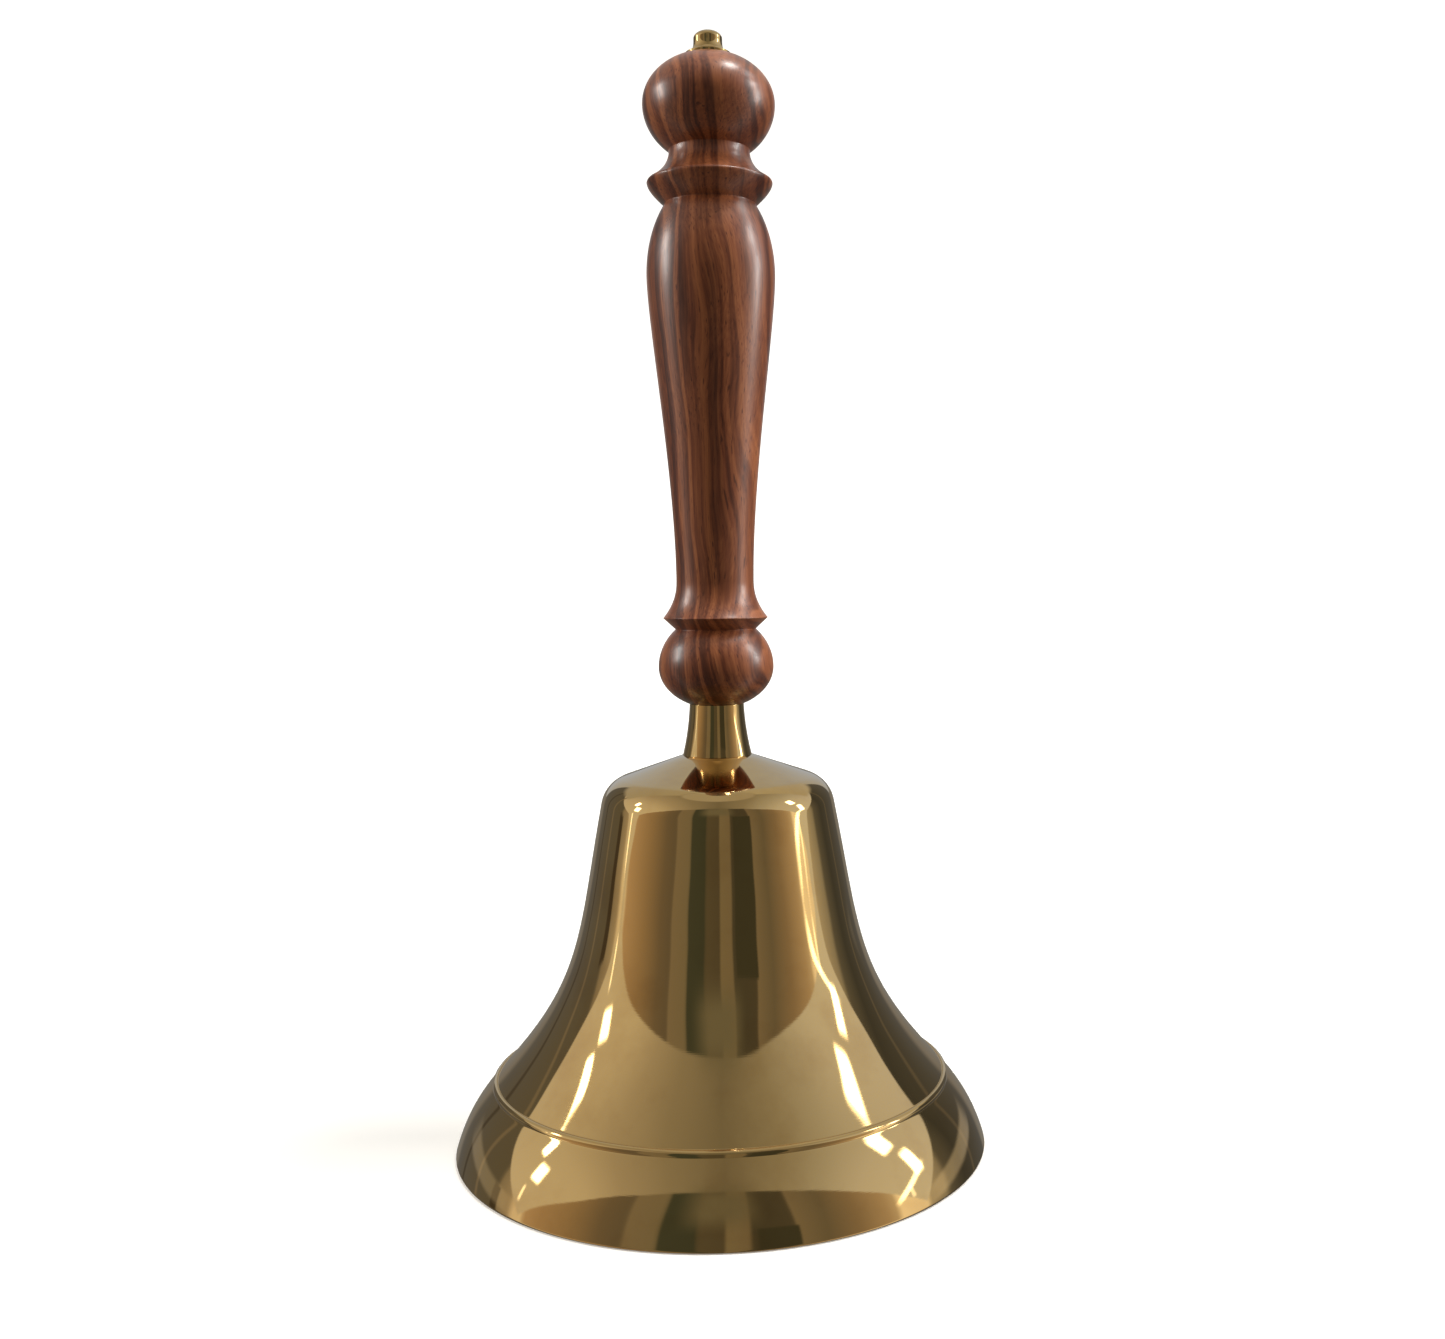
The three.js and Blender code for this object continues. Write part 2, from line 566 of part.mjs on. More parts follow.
const handBell = new THREE.Group();
handBell.add(
  mesh("bell", bellGeometry(), BRASS),
  mesh("ferrule", ferruleGeometry(), BRASS),
  mesh("handle", handleGeometry(), ROSEWOOD),
  mesh("finial_nut", finialGeometry(), BRASS),
  mesh("tie_rod", bar(ROD_RADIUS, ROD_BOTTOM, ROD_TOP, ROD_FACETS), STEEL),
  mesh(
    "leather_washer",
    ring(ROD_HOLE, LEATHER_WASHER_RADIUS, STEEL_WASHER_TOP, CROWN_INSIDE, COLLAR_FACETS),
    LEATHER,
  ),
  mesh("steel_washer", ring(ROD_HOLE, STEEL_WASHER_RADIUS, NUT_TOP, STEEL_WASHER_TOP, COLLAR_FACETS), STEEL),
  crownNut,
  hanger,
  clapper,
);

export default handBell;
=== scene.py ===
"""Brass hand bell on a turned rosewood handle, with its clapper, on a plain pale floor.

Lengths are metres. The outlines are drawn in the plane of the bell's axis: distance from it, then height.
"""

import json
import math

import bmesh
import bpy
from bpy.props import FloatProperty, FloatVectorProperty, IntProperty, PointerProperty
from mathutils import Matrix, Quaternion, Vector


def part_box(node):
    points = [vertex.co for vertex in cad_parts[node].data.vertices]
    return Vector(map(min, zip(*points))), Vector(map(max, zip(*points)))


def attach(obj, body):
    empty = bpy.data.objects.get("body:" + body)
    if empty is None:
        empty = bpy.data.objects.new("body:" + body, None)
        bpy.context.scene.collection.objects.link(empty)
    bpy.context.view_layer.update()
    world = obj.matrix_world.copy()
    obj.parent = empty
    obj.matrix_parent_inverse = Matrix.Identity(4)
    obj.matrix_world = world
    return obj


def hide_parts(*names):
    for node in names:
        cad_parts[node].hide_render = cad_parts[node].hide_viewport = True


bl_info = {
    "name": "Hand bell",
    "version": (1, 0, 0),
    "blender": (4, 5, 0),
    "location": "View3D > Sidebar > Hand bell",
    "description": "Turns a brass hand bell with a rosewood handle and hangs its clapper",
    "category": "Add Mesh",
}

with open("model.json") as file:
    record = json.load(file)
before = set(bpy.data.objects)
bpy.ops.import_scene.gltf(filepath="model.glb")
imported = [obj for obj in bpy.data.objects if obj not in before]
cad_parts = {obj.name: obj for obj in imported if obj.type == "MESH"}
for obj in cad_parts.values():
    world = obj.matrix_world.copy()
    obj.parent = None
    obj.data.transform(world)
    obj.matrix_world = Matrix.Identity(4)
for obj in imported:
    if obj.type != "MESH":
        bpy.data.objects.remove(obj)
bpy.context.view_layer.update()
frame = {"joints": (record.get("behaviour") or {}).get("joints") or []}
BODY = "bell_and_handle"
CLAPPER = "clapper"
MM = 0.001

BELL_LOW, BELL_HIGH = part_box("bell")
FERRULE_LOW, FERRULE_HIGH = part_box("ferrule")
HANDLE_LOW, HANDLE_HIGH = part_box("handle")
FINIAL_LOW, FINIAL_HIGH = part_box("finial_nut")
ROD_LOW, ROD_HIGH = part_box("tie_rod")
LEATHER_LOW, LEATHER_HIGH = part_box("leather_washer")
WASHER_LOW, WASHER_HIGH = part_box("steel_washer")
NUT_LOW, NUT_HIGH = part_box("crown_nut")
FORK_LOW, FORK_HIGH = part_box("clapper_fork")
SHANK_LOW, SHANK_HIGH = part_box("clapper_shank")
BALL_LOW, BALL_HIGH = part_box("clapper_ball")
CLAPPER_NUT_LOW, CLAPPER_NUT_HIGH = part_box("clapper_nut")
PIVOT = Vector(frame["joints"][0]["pos_m"])

ON_THE_PIN = Matrix.Translation((0, 0, PIVOT.z)) @ Matrix.Rotation(-math.pi / 2, 4, "X")

# Small sizes and gaps of the fittings, the same as in the solids
SEAT_MARGIN = 0.2 * MM
CLOSE_FIT = 0.15 * MM
FERRULE_TOP = 6.9 * MM
TENON_GAP = 0.3 * MM
FORK_BOSS = 7 * MM
FORK_THREAD = 6.4 * MM
CHEEK_ROUND = 4.5 * MM
CHEEK_FACE = 4.5 * MM
EYE_GAP = 0.6 * MM
PIN_TAIL = 3 * MM
PIN_HEAD = 1.2 * MM
SPLIT_PIN_HOLE = 0.85 * MM
SPLIT_PIN_LEG = 3.4 * MM
SPLIT_PIN_SPREAD = 1.7 * MM
SPLIT_PIN_EYE = 1.1 * MM
COLLAR_HEIGHT = 1.8 * MM
THREAD_DEPTH = 0.4 * MM
ROD_FACETS = 32
SHANK_NECK = 6 * MM
ROD_END_GAP = 0.4 * MM
LOWER_THREAD = 24 * MM
UPPER_THREAD = 18 * MM
HUB = 1 * MM
WELD = 0.005 * MM
BORE_FACETS = 48

# How far each kind of edge is broken
LEATHER_EDGE = 0.5 * MM
TURNED_STEEL_EDGE = 0.3 * MM
CARVED_STEEL_EDGE = 0.08 * MM
FORK_EDGE = 0.18 * MM
SHANK_EDGE = 0.15 * MM
BALL_EDGE = 0.25 * MM
BALL_NUT_EDGE = 0.15 * MM
SHARP_EDGE = 0.01 * MM


# Sizes and colours that a user would change


def length(name, description, millimetres):
    return FloatProperty(
        name=name, description=description, default=millimetres * MM, unit="LENGTH", precision=5
    )


def degrees(name, description, value):
    return FloatProperty(name=name, description=description, default=math.radians(value), subtype="ANGLE")


def linear(code):
    """An sRGB hex colour as the linear values that a shader works in."""
    parts = [int(code[i : i + 2], 16) / 255 for i in (1, 3, 5)]
    return [c / 12.92 if c <= 0.04045 else ((c + 0.055) / 1.055) ** 2.4 for c in parts]


def colour(name, description, code):
    return FloatVectorProperty(
        name=name, description=description, default=linear(code), subtype="COLOR", size=3, min=0, max=1
    )


class BellSizes(bpy.types.PropertyGroup):
    mouth: length("Mouth radius", "Widest place, at the lip", BELL_HIGH.x / MM)
    lip_round: length("Lip round", "Rounding under the lip", 0.8)
    lip_lean: degrees("Lip lean", "Lean of the wall at the lip, from upright", 16)
    lip_reach: length("Lip reach", "How far the lip holds its lean", 7.2)
    bead_height: length("Bead height", "Height of the bead", 18.1)
    bead_width: length("Bead width", "Width of the bead along the wall", 1.9)
    bead_rise: length("Bead rise", "How far the bead stands proud", 0.6)
    flare: length("Flare radius", "Radius of the wall at the bead", 57.4)
    flare_lean: degrees("Flare lean", "Lean of the wall at the bead", 42.8)
    flare_reach: length("Flare reach", "How far the flare holds its lean", 33.4)
    waist_lean: degrees("Waist lean", "Lean of the wall at the waist", 11)
    waist_reach: length("Waist reach", "How far the waist holds its lean", 34.6)
    shoulder: length("Shoulder radius", "Where the lines of waist and crown meet", 28.7)
    shoulder_round: length("Shoulder round", "Rounding of the shoulder", 8.4)
    crown_slope: degrees("Crown slope", "Slope of the crown, from level", 19.2)
    lip_wall: length("Lip wall", "Wall thickness at the lip", 3)
    bow_wall: length("Bow wall", "Wall thickness of the sound bow", 4.2)
    bow_fade: length("Bow fade", "Height over which the bow thins to the waist", 32)
    waist_wall: length("Waist wall", "Wall thickness at the waist", 2.8)
    crown_wall: length("Crown wall", "Wall thickness of the crown", 4)
    arris: length("Arris", "Easing of the turned edges", 0.25)
    facets: IntProperty(name="Facets", description="Facets round the bell", default=240, min=12)


class HandleSizes(bpy.types.PropertyGroup):
    tenon: length("Tenon radius", "Tenon in the ferrule's socket", 5)
    lower_ball: length("Lower ball radius", "Ball above the ferrule", 14.6)
    lower_ball_under: length("Lower ball under", "Half height under the widest place", 10.7)
    lower_ball_over: length("Lower ball over", "Half height over the widest place", 13.4)
    groove: length("Groove radius", "Groove between ball and ring", 10.2)
    ring: length("Ring radius", "Sharp ring over the lower ball", 13.3)
    ring_height: length("Ring height", "Height of the ring over the ferrule", 21.8)
    ring_cove: length("Ring cove", "Where the cove over the ring turns upright", 26)
    neck: length("Neck radius", "Thinnest place of the grip", 9.8)
    neck_height: length("Neck height", "Height of the neck over the ferrule", 30.9)
    neck_reach: length("Neck reach", "How far the neck stays upright", 27.3)
    belly: length("Belly radius", "Thickest place of the grip", 16.1)
    belly_height: length("Belly height", "Height of the belly over the ferrule", 107.3)
    belly_reach: length("Belly reach", "How far the belly stays upright", 12.5)
    grip_shoulder: length("Grip shoulder", "Half height of the grip's shoulder", 24.6)
    ridge_foot: length("Ridge foot", "Height of the groove under the ridge", 124.6)
    ridge: length("Ridge radius", "Widest place of the ridge", 15.7)
    ridge_height: length("Ridge height", "Height of the widest place", 130)
    ridge_drop: length("Ridge drop", "Widest place to where the ridge turns in", 1.7)
    arris_radius: length("Arris radius", "Upper edge of the ridge", 15.5)
    arris_height: length("Arris height", "Height of the upper edge", 130.4)
    cove: length("Cove radius", "Neck under the upper ball", 10.1)
    cove_rise: length("Cove rise", "Arris to where the cove turns upright", 3)
    upper_ball: length("Upper ball radius", "Ball at the top", 16.5)
    upper_ball_height: length("Upper ball height", "Widest place over the ferrule", 149.1)
    upper_ball_under: length("Upper ball under", "Half height under the widest place", 14.1)
    upper_ball_over: length("Upper ball over", "Half height over the widest place", 12.4)
    arris: length("Arris", "Easing of the turned edges", 0.15)
    facets: IntProperty(name="Facets", description="Facets round the handle", default=160, min=12)


class FittingSizes(bpy.types.PropertyGroup):
    rod_hole: length("Rod hole", "Radius of the holes for the tie rod", 2.9)
    thread_hole: length("Thread hole", "Radius of the holes that hold a thread", 2.65)
    thread_pitch: length("Thread pitch", "Rise of one turn of the tie rod's thread", 0.8)
    finial_foot: length("Finial foot", "Height of the finial's flared foot", 3.9)
    finial_edge: length("Finial edge", "Height of the upright edge of the finial's foot", 0.8)
    finial_dome: length("Finial dome", "Height of the finial's dome", 2)
    finial_body: length("Finial body", "Radius of the finial over its foot", 3.6)
    socket: length("Socket radius", "Socket of the ferrule", 5.3)
    eye_bore: length("Eye bore", "Radius of the hole in the shank's eye", 1.8)
    eye: length("Eye radius", "Radius of the shank's eye", 4.2)
    eye_thickness: length("Eye thickness", "Thickness of the shank's eye", 3.2)
    shank: length("Shank radius", "Radius of the clapper's shank", 2.25)
    collar: length("Collar radius", "Collar over the ball", 3.5)
    tail: length("Tail radius", "Threaded tail under the collar", 2)
    pin: length("Pin radius", "Pin that the clapper swings on", 1.5)
    pin_head: length("Pin head radius", "Head of the pin", 2.5)
    wire: length("Wire radius", "Wire of the split pin", 0.35)
    facets: IntProperty(name="Facets", description="Facets round the small pieces", default=72, min=12)


class Finishes(bpy.types.PropertyGroup):
    brass: colour("Brass", "Polished brass, seen square on", "#e9c27a")
    brass_tarnish: colour("Tarnish", "Brass where hands and air have dulled it", "#c99a52")
    cast_brass: colour("Turned brass", "Brass inside the bell, left as turned", "#c8a463")
    wood_light: colour("Light wood", "Palest streaks of the rosewood", "#bc7447")
    wood_mid: colour("Wood", "Body of the rosewood", "#854528")
    wood_dark: colour("Dark wood", "Dark streaks of the rosewood", "#3c180d")
    steel: colour("Steel", "Zinc plated steel", "#b9bcc0")
    leather: colour("Leather", "Cut washer of tanned leather", "#6b4226")
    floor: colour("Floor", "Matt floor", "#f1efeb")


class StageSettings(bpy.types.PropertyGroup):
    focal_length: FloatProperty(
        name="Focal length", description="Lens on a 36 mm wide sensor, in millimetres", default=36.58
    )
    camera_back: length("Camera distance", "Camera in front of the bell's axis", 373.75)
    camera_height: length("Camera height", "Camera over the floor", 144.97)
    camera_pitch: degrees("Camera pitch", "How far the camera looks down", 3.652)
    camera_turn: degrees("Camera turn", "How far the camera looks to the right", 3.109)
    camera_roll: degrees("Camera roll", "How far the camera leans", -0.583)
    shift: FloatProperty(name="Shift", description="Sideways shift of the picture", default=-0.0508)
    strip_power: FloatProperty(
        name="Side lights", description="Power of a lamp with a share of one", default=4.2, unit="POWER"
    )
    top_power: FloatProperty(
        name="Top light", description="Power of the wide light overhead", default=8, unit="POWER"
    )
    room: FloatProperty(name="Room light", description="Strength of the light from all round", default=1)


# Outlines

def at(radius, height):
    return Vector((radius, height))


def heading(angle):
    return at(math.cos(angle), math.sin(angle))


def leaning_curve(start, heading_out, reach_out, end, heading_in, reach_in, steps):
    """Points from start to end that keep a heading for a reach at each end."""
    first, second = start + heading_out * reach_out, end - heading_in * reach_in
    points = []
    for i in range(steps + 1):
        t = i / steps
        u = 1 - t
        points.append(start * u**3 + first * 3 * u * u * t + second * 3 * u * t * t + end * t**3)
    return points


def hollow_curve(start, corner, end, steps):
    """Points from start to end, both sides tangent to the corner."""
    shares = [i / steps for i in range(steps + 1)]
    return [start * (1 - t) ** 2 + corner * 2 * t * (1 - t) + end * t * t for t in shares]


def ellipse_arc(height, radius, half_height, first, last, steps):
    angles = [first + (last - first) * i / steps for i in range(steps + 1)]
    return [at(radius * math.cos(a), height + half_height * math.sin(a)) for a in angles]


def arc(centre, radius, first, last, steps):
    return [p + at(centre.x, 0) for p in ellipse_arc(centre.y, radius, radius, first, last, steps)]


def angle_at(ellipse_radius, radius):
    """Angle on an ellipse's upper half where it has a given radius."""
    return math.acos(radius / ellipse_radius)


def ellipse_height(radius, half_height, distance):
    return half_height * math.sqrt(1 - (distance / radius) ** 2)


def eased(points, ease, closed):
    """The outline with every sharp corner rounded, as a turner breaks an arris with a cloth."""
    sharp = math.radians(20)
    count, made = len(points), []
    for i, p in enumerate(points):
        if not closed and i in (0, count - 1):
            made.append(p)
            continue
        before, after = points[i - 1] - p, points[(i + 1) % count] - p
        if math.pi - before.angle(after) < sharp:
            made.append(p)
            continue
        a = before.normalized() * min(ease, before.length * 0.45)
        b = after.normalized() * min(ease, after.length * 0.45)
        made += hollow_curve(p + a, p, p + b, 5)
    return made


def between_heights(points, low, high):
    """The part of a rising line between two heights, with its ends on them."""
    kept = []
    for p, q in zip(points, points[1:] + [None]):
        if low <= p.y <= high:
            kept.append(p)
        if q is None:
            continue
        for level in (low, high):
            if (p.y - level) * (q.y - level) < 0:
                kept.append(p.lerp(q, (level - p.y) / (q.y - p.y)))
    return kept


def smoothstep(value, low, high):
    t = min(max((value - low) / (high - low), 0), 1)
    return t * t * (3 - 2 * t)


def bell_wall_runs(s, seat_radius):
    """The outside without its bead: lip, flare, shoulder and crown."""
    waist_normal, crown_normal = heading(s.waist_lean), heading(math.pi / 2 - s.crown_slope)
    seat = at(seat_radius, BELL_HIGH.z)
    corner = at(s.shoulder, BELL_HIGH.z - (s.shoulder - seat.x) * math.tan(s.crown_slope))
    inset = s.shoulder_round / (1 + waist_normal.dot(crown_normal))
    centre = corner - (waist_normal + crown_normal) * inset
    bead = at(s.flare, s.bead_height)
    lip = leaning_curve(
        at(s.mouth, s.lip_round), heading(math.pi / 2 + s.lip_lean), s.lip_reach,
        bead, heading(math.pi / 2 + s.flare_lean), s.lip_reach, 26,
    )
    flare = leaning_curve(
        bead, heading(math.pi / 2 + s.flare_lean), s.flare_reach,
        centre + waist_normal * s.shoulder_round, heading(math.pi / 2 + s.waist_lean), s.waist_reach, 76,
    )
    shoulder = arc(centre, s.shoulder_round, s.waist_lean, math.pi / 2 - s.crown_slope, 22)
    crown = [shoulder[-1].lerp(seat, i / 12) for i in range(1, 13)]
    return lip, flare, shoulder, crown


def bell_outline(s, rod_hole, seat_radius):
    lip, flare, shoulder, crown = bell_wall_runs(s, seat_radius)
    half = s.bead_width / 2
    bead = at(s.flare, s.bead_height)
    radius = (half**2 + s.bead_rise**2) / (2 * s.bead_rise)
    centre = bead + heading(s.flare_lean) * (s.bead_rise - radius)
    spread = math.asin(half / radius)
    bead_arc = arc(centre, radius, s.flare_lean - spread, s.flare_lean + spread, 14)
    clear = half * 1.05
    lip_edge = arc(at(s.mouth - s.lip_round, s.lip_round), s.lip_round, -math.pi / 2, 0, 8)
    outside = [
        *lip_edge,
        *(p for p in lip[1:] if (p - bead).length > clear),
        *bead_arc,
        *(p for p in flare if (p - bead).length > clear),
        *shoulder[1:],
        *crown,
    ]
    wall = [*lip, *flare[1:], *shoulder[1:], *crown]

    def thickness(height):
        if height < s.bead_height:
            return s.lip_wall + (s.bow_wall - s.lip_wall) * smoothstep(height, 0, s.bead_height)
        thinned = smoothstep(height, s.bead_height, s.bead_height + s.bow_fade)
        return s.bow_wall + (s.waist_wall - s.bow_wall) * thinned

    inside = []
    for i, p in enumerate(wall):
        along = (wall[min(i + 1, len(wall) - 1)] - wall[max(i - 1, 0)]).normalized()
        inside.append(p - at(along.y, -along.x) * thickness(p.y))
    crown_inside = BELL_HIGH.z - s.crown_wall
    return [
        *outside,
        at(rod_hole, BELL_HIGH.z),
        at(rod_hole, crown_inside),
        *reversed(between_heights(inside, 0, crown_inside)),
    ]


def ferrule_outline(f):
    foot, top = FERRULE_HIGH.x, FERRULE_TOP
    bore, floor = f.socket, HANDLE_LOW.z - TENON_GAP
    middle = at(top + 0.15 * (foot - top), (FERRULE_LOW.z + FERRULE_HIGH.z) / 2)
    side = hollow_curve(at(foot, FERRULE_LOW.z), middle, at(top, FERRULE_HIGH.z), 40)
    return [
        *side, at(bore, FERRULE_HIGH.z), at(bore, floor),
        at(f.rod_hole, floor), at(f.rod_hole, FERRULE_LOW.z),
    ]


def handle_outline(s, rod_hole):
    foot_radius, seat_radius = FERRULE_TOP + SEAT_MARGIN, FINIAL_HIGH.x + SEAT_MARGIN
    low = FERRULE_HIGH.z
    centre = ellipse_height(s.lower_ball, s.lower_ball_under, foot_radius)
    ball = [
        *ellipse_arc(centre, s.lower_ball, s.lower_ball_under, -angle_at(s.lower_ball, foot_radius), 0, 32),
        *ellipse_arc(centre, s.lower_ball, s.lower_ball_over, 0, angle_at(s.lower_ball, s.groove), 26)[1:],
    ]
    neck, belly, upright = at(s.neck, s.neck_height), at(s.belly, s.belly_height), at(0, 1)
    rise = s.ridge_foot - s.belly_height
    grip = [
        *hollow_curve(at(s.ring, s.ring_height), at(s.neck, s.ring_cove), neck, 26),
        *leaning_curve(neck, upright, s.neck_reach, belly, upright, s.belly_reach, 60)[1:],
        *ellipse_arc(s.belly_height, s.belly, s.grip_shoulder, 0, math.asin(rise / s.grip_shoulder), 26)[1:],
    ]
    ridge_foot = ellipse_height(s.grip_shoulder, s.belly, rise)
    cove_top = s.upper_ball_height - ellipse_height(s.upper_ball, s.upper_ball_under, s.cove)
    ridge = [
        *hollow_curve(
            at(ridge_foot, s.ridge_foot), at(s.ridge, s.ridge_height - s.ridge_drop),
            at(s.ridge, s.ridge_height), 14,
        )[1:],
        *hollow_curve(
            at(s.arris_radius, s.arris_height), at(s.cove, s.arris_height + s.cove_rise),
            at(s.cove, cove_top), 26,
        ),
    ]
    from_cove, to_seat = -angle_at(s.upper_ball, s.cove), angle_at(s.upper_ball, seat_radius)
    top = [
        *ellipse_arc(s.upper_ball_height, s.upper_ball, s.upper_ball_under, from_cove, 0, 34)[1:],
        *ellipse_arc(s.upper_ball_height, s.upper_ball, s.upper_ball_over, 0, to_seat, 34)[1:],
    ]
    outside = [p + at(0, low) for p in (*ball, *grip, *ridge, *top)]
    return [
        at(s.tenon, HANDLE_LOW.z), at(s.tenon, low), *outside,
        at(rod_hole, HANDLE_HIGH.z), at(rod_hole, HANDLE_LOW.z),
    ]


def finial_outline(f):
    foot, body = FINIAL_HIGH.x, f.finial_body
    seat, top = FINIAL_LOW.z, FINIAL_HIGH.z
    hole = ROD_HIGH.z + ROD_END_GAP
    return [
        at(foot, seat),
        *hollow_curve(
            at(foot, seat + f.finial_edge), at(body, seat + f.finial_edge),
            at(body, seat + f.finial_foot), 20,
        ),
        *ellipse_arc(top - f.finial_dome, body, f.finial_dome, 0, math.pi / 2, 18)[:-1],
        at(0, top), at(0, hole), at(f.thread_hole, hole), at(f.thread_hole, seat),
    ]


# Geometry Nodes


def feed(tree, node, inputs):
    """Gives a node its inputs. Each is a value, or the socket that it comes from."""
    for key, value in inputs.items():
        if isinstance(value, bpy.types.NodeSocket):
            tree.links.new(value, node.inputs[key])
        else:
            node.inputs[key].default_value = value


def add_node(tree, kind, inputs=None, **settings):
    node = tree.nodes.new(kind)
    for key, value in settings.items():
        setattr(node, key, value)
    feed(tree, node, inputs or {})
    return node


def new_tree(name, sockets):
    """An empty Geometry Nodes tree that takes a line and returns a piece."""
    tree = bpy.data.node_groups.new(name, "GeometryNodeTree")
    tree.interface.new_socket("Line", in_out="INPUT", socket_type="NodeSocketGeometry")
    for socket, kind in sockets.items():
        tree.interface.new_socket(socket, in_out="INPUT", socket_type="NodeSocket" + kind)
    tree.interface.new_socket("Piece", in_out="OUTPUT", socket_type="NodeSocketGeometry")
    return tree, add_node(tree, "NodeGroupInput").outputs


def finish_tree(tree, geometry, given):
    """Closes poles, keeps arrises crisp, and ends in Realize Instances and Set Material."""
    closed = add_node(tree, "GeometryNodeMergeByDistance", {"Geometry": geometry, "Distance": 1e-7})
    smooth = add_node(
        tree, "GeometryNodeSetShadeSmooth", {"Geometry": closed.outputs["Geometry"]}, domain="FACE"
    )
    bend = add_node(tree, "GeometryNodeInputMeshEdgeAngle")
    crisp = add_node(
        tree, "FunctionNodeCompare", {"A": bend.outputs["Unsigned Angle"], "B": given["Crisp angle"]},
        data_type="FLOAT", operation="GREATER_THAN",
    )
    edges = add_node(
        tree, "GeometryNodeSetShadeSmooth",
        {
            "Geometry": smooth.outputs["Geometry"], "Selection": crisp.outputs["Result"],
            "Shade Smooth": False,
        },
        domain="EDGE",
    )
    real = add_node(tree, "GeometryNodeRealizeInstances", {"Geometry": edges.outputs["Geometry"]})
    painted = add_node(
        tree, "GeometryNodeSetMaterial", {"Geometry": real.outputs["Geometry"], "Material": given["Finish"]}
    )
    add_node(tree, "NodeGroupOutput", {"Piece": painted.outputs["Geometry"]})


def lathe_tree():
    """Turns an outline round the upright axis."""
    tree, given = new_tree("turned_on_a_lathe", {
        "Facets": "Int", "Hub": "Float", "Crisp angle": "Float", "Finish": "Material"
    })
    outline = add_node(tree, "GeometryNodeMeshToCurve", {"Mesh": given["Line"]})
    hub = add_node(tree, "ShaderNodeMath", {0: given["Hub"], 1: -1.0}, operation="MULTIPLY")
    inward = add_node(tree, "ShaderNodeCombineXYZ", {"X": hub.outputs["Value"]})
    laid = add_node(
        tree, "GeometryNodeTransform",
        {"Geometry": outline.outputs["Curve"], "Translation": inward.outputs["Vector"],
         "Rotation": (math.pi / 2, 0, 0)},
    )
    path = add_node(
        tree, "GeometryNodeCurvePrimitiveCircle", {"Resolution": given["Facets"], "Radius": given["Hub"]}
    )
    swept = add_node(
        tree, "GeometryNodeCurveToMesh",
        {"Curve": path.outputs["Curve"], "Profile Curve": laid.outputs["Geometry"]},
    )
    outward = add_node(tree, "GeometryNodeFlipFaces", {"Mesh": swept.outputs["Mesh"]})
    finish_tree(tree, outward.outputs["Mesh"], given)
    return tree


def thread_tree():
    """A bar along a line, with a screw thread where the line's points carry a depth."""
    tree, given = new_tree("threaded_bar", {
        "Facets": "Int", "Radius": "Float", "Pitch": "Float", "Crisp angle": "Float", "Finish": "Material"
    })
    line = add_node(tree, "GeometryNodeMeshToCurve", {"Mesh": given["Line"]})
    round_bar = add_node(
        tree, "GeometryNodeCurvePrimitiveCircle", {"Resolution": given["Facets"], "Radius": given["Radius"]}
    )
    swept = add_node(
        tree, "GeometryNodeCurveToMesh",
        {"Curve": line.outputs["Curve"], "Profile Curve": round_bar.outputs["Curve"], "Fill Caps": True},
    )
    place = add_node(
        tree, "ShaderNodeSeparateXYZ", {"Vector": add_node(tree, "GeometryNodeInputPosition").outputs[0]}
    )
    x, y, z = (place.outputs[c] for c in "XYZ")
    turn = add_node(tree, "ShaderNodeMath", {0: y, 1: x}, operation="ARCTAN2")
    turns = add_node(tree, "ShaderNodeMath", {0: turn.outputs[0], 1: 2 * math.pi}, operation="DIVIDE")
    climb = add_node(tree, "ShaderNodeMath", {0: z, 1: given["Pitch"]}, operation="DIVIDE")
    phase = add_node(
        tree, "ShaderNodeMath", {0: climb.outputs[0], 1: turns.outputs[0]}, operation="SUBTRACT"
    )
    flank = add_node(tree, "ShaderNodeMath", {0: phase.outputs[0], 1: 0.5}, operation="PINGPONG")
    depth = add_node(tree, "GeometryNodeInputNamedAttribute", {"Name": "thread_depth"}, data_type="FLOAT")
    cut = add_node(
        tree, "ShaderNodeMath", {0: flank.outputs[0], 1: depth.outputs["Attribute"]}, operation="MULTIPLY"
    )
    scaled = add_node(tree, "ShaderNodeMath", {0: cut.outputs[0], 1: -2.0}, operation="MULTIPLY")
    radial = add_node(tree, "ShaderNodeCombineXYZ", {"X": x, "Y": y})
    unit = add_node(tree, "ShaderNodeVectorMath", {0: radial.outputs[0]}, operation="NORMALIZE")
    offset = add_node(
        tree, "ShaderNodeVectorMath", {0: unit.outputs[0], "Scale": scaled.outputs[0]}, operation="SCALE"
    )
    cut_bar = add_node(
        tree, "GeometryNodeSetPosition", {"Geometry": swept.outputs["Mesh"], "Offset": offset.outputs[0]}
    )
    finish_tree(tree, cut_bar.outputs["Geometry"], given)
    return tree


def evaluated(obj, name):
    """The object's mesh with its modifiers applied, as a plain mesh object at the origin."""
    bpy.context.view_layer.update()
    depsgraph = bpy.context.evaluated_depsgraph_get()
    mesh = bpy.data.meshes.new_from_object(obj.evaluated_get(depsgraph), depsgraph=depsgraph)
    old = obj.data
    bpy.data.objects.remove(obj)
    if isinstance(old, bpy.types.Mesh):
        bpy.data.meshes.remove(old)
    else:
        bpy.data.curves.remove(old)
    mesh.name = name
    made = bpy.data.objects.new(name, mesh)
    bpy.context.scene.collection.objects.link(made)
    return made


def line_object(name, points, closed):
    mesh = bpy.data.meshes.new(name)
    edges = [(i, i + 1) for i in range(len(points) - 1)]
    if closed:
        edges.append((len(points) - 1, 0))
    mesh.from_pydata(points, edges, [])
    obj = bpy.data.objects.new(name, mesh)
    bpy.context.scene.collection.objects.link(obj)
    return obj


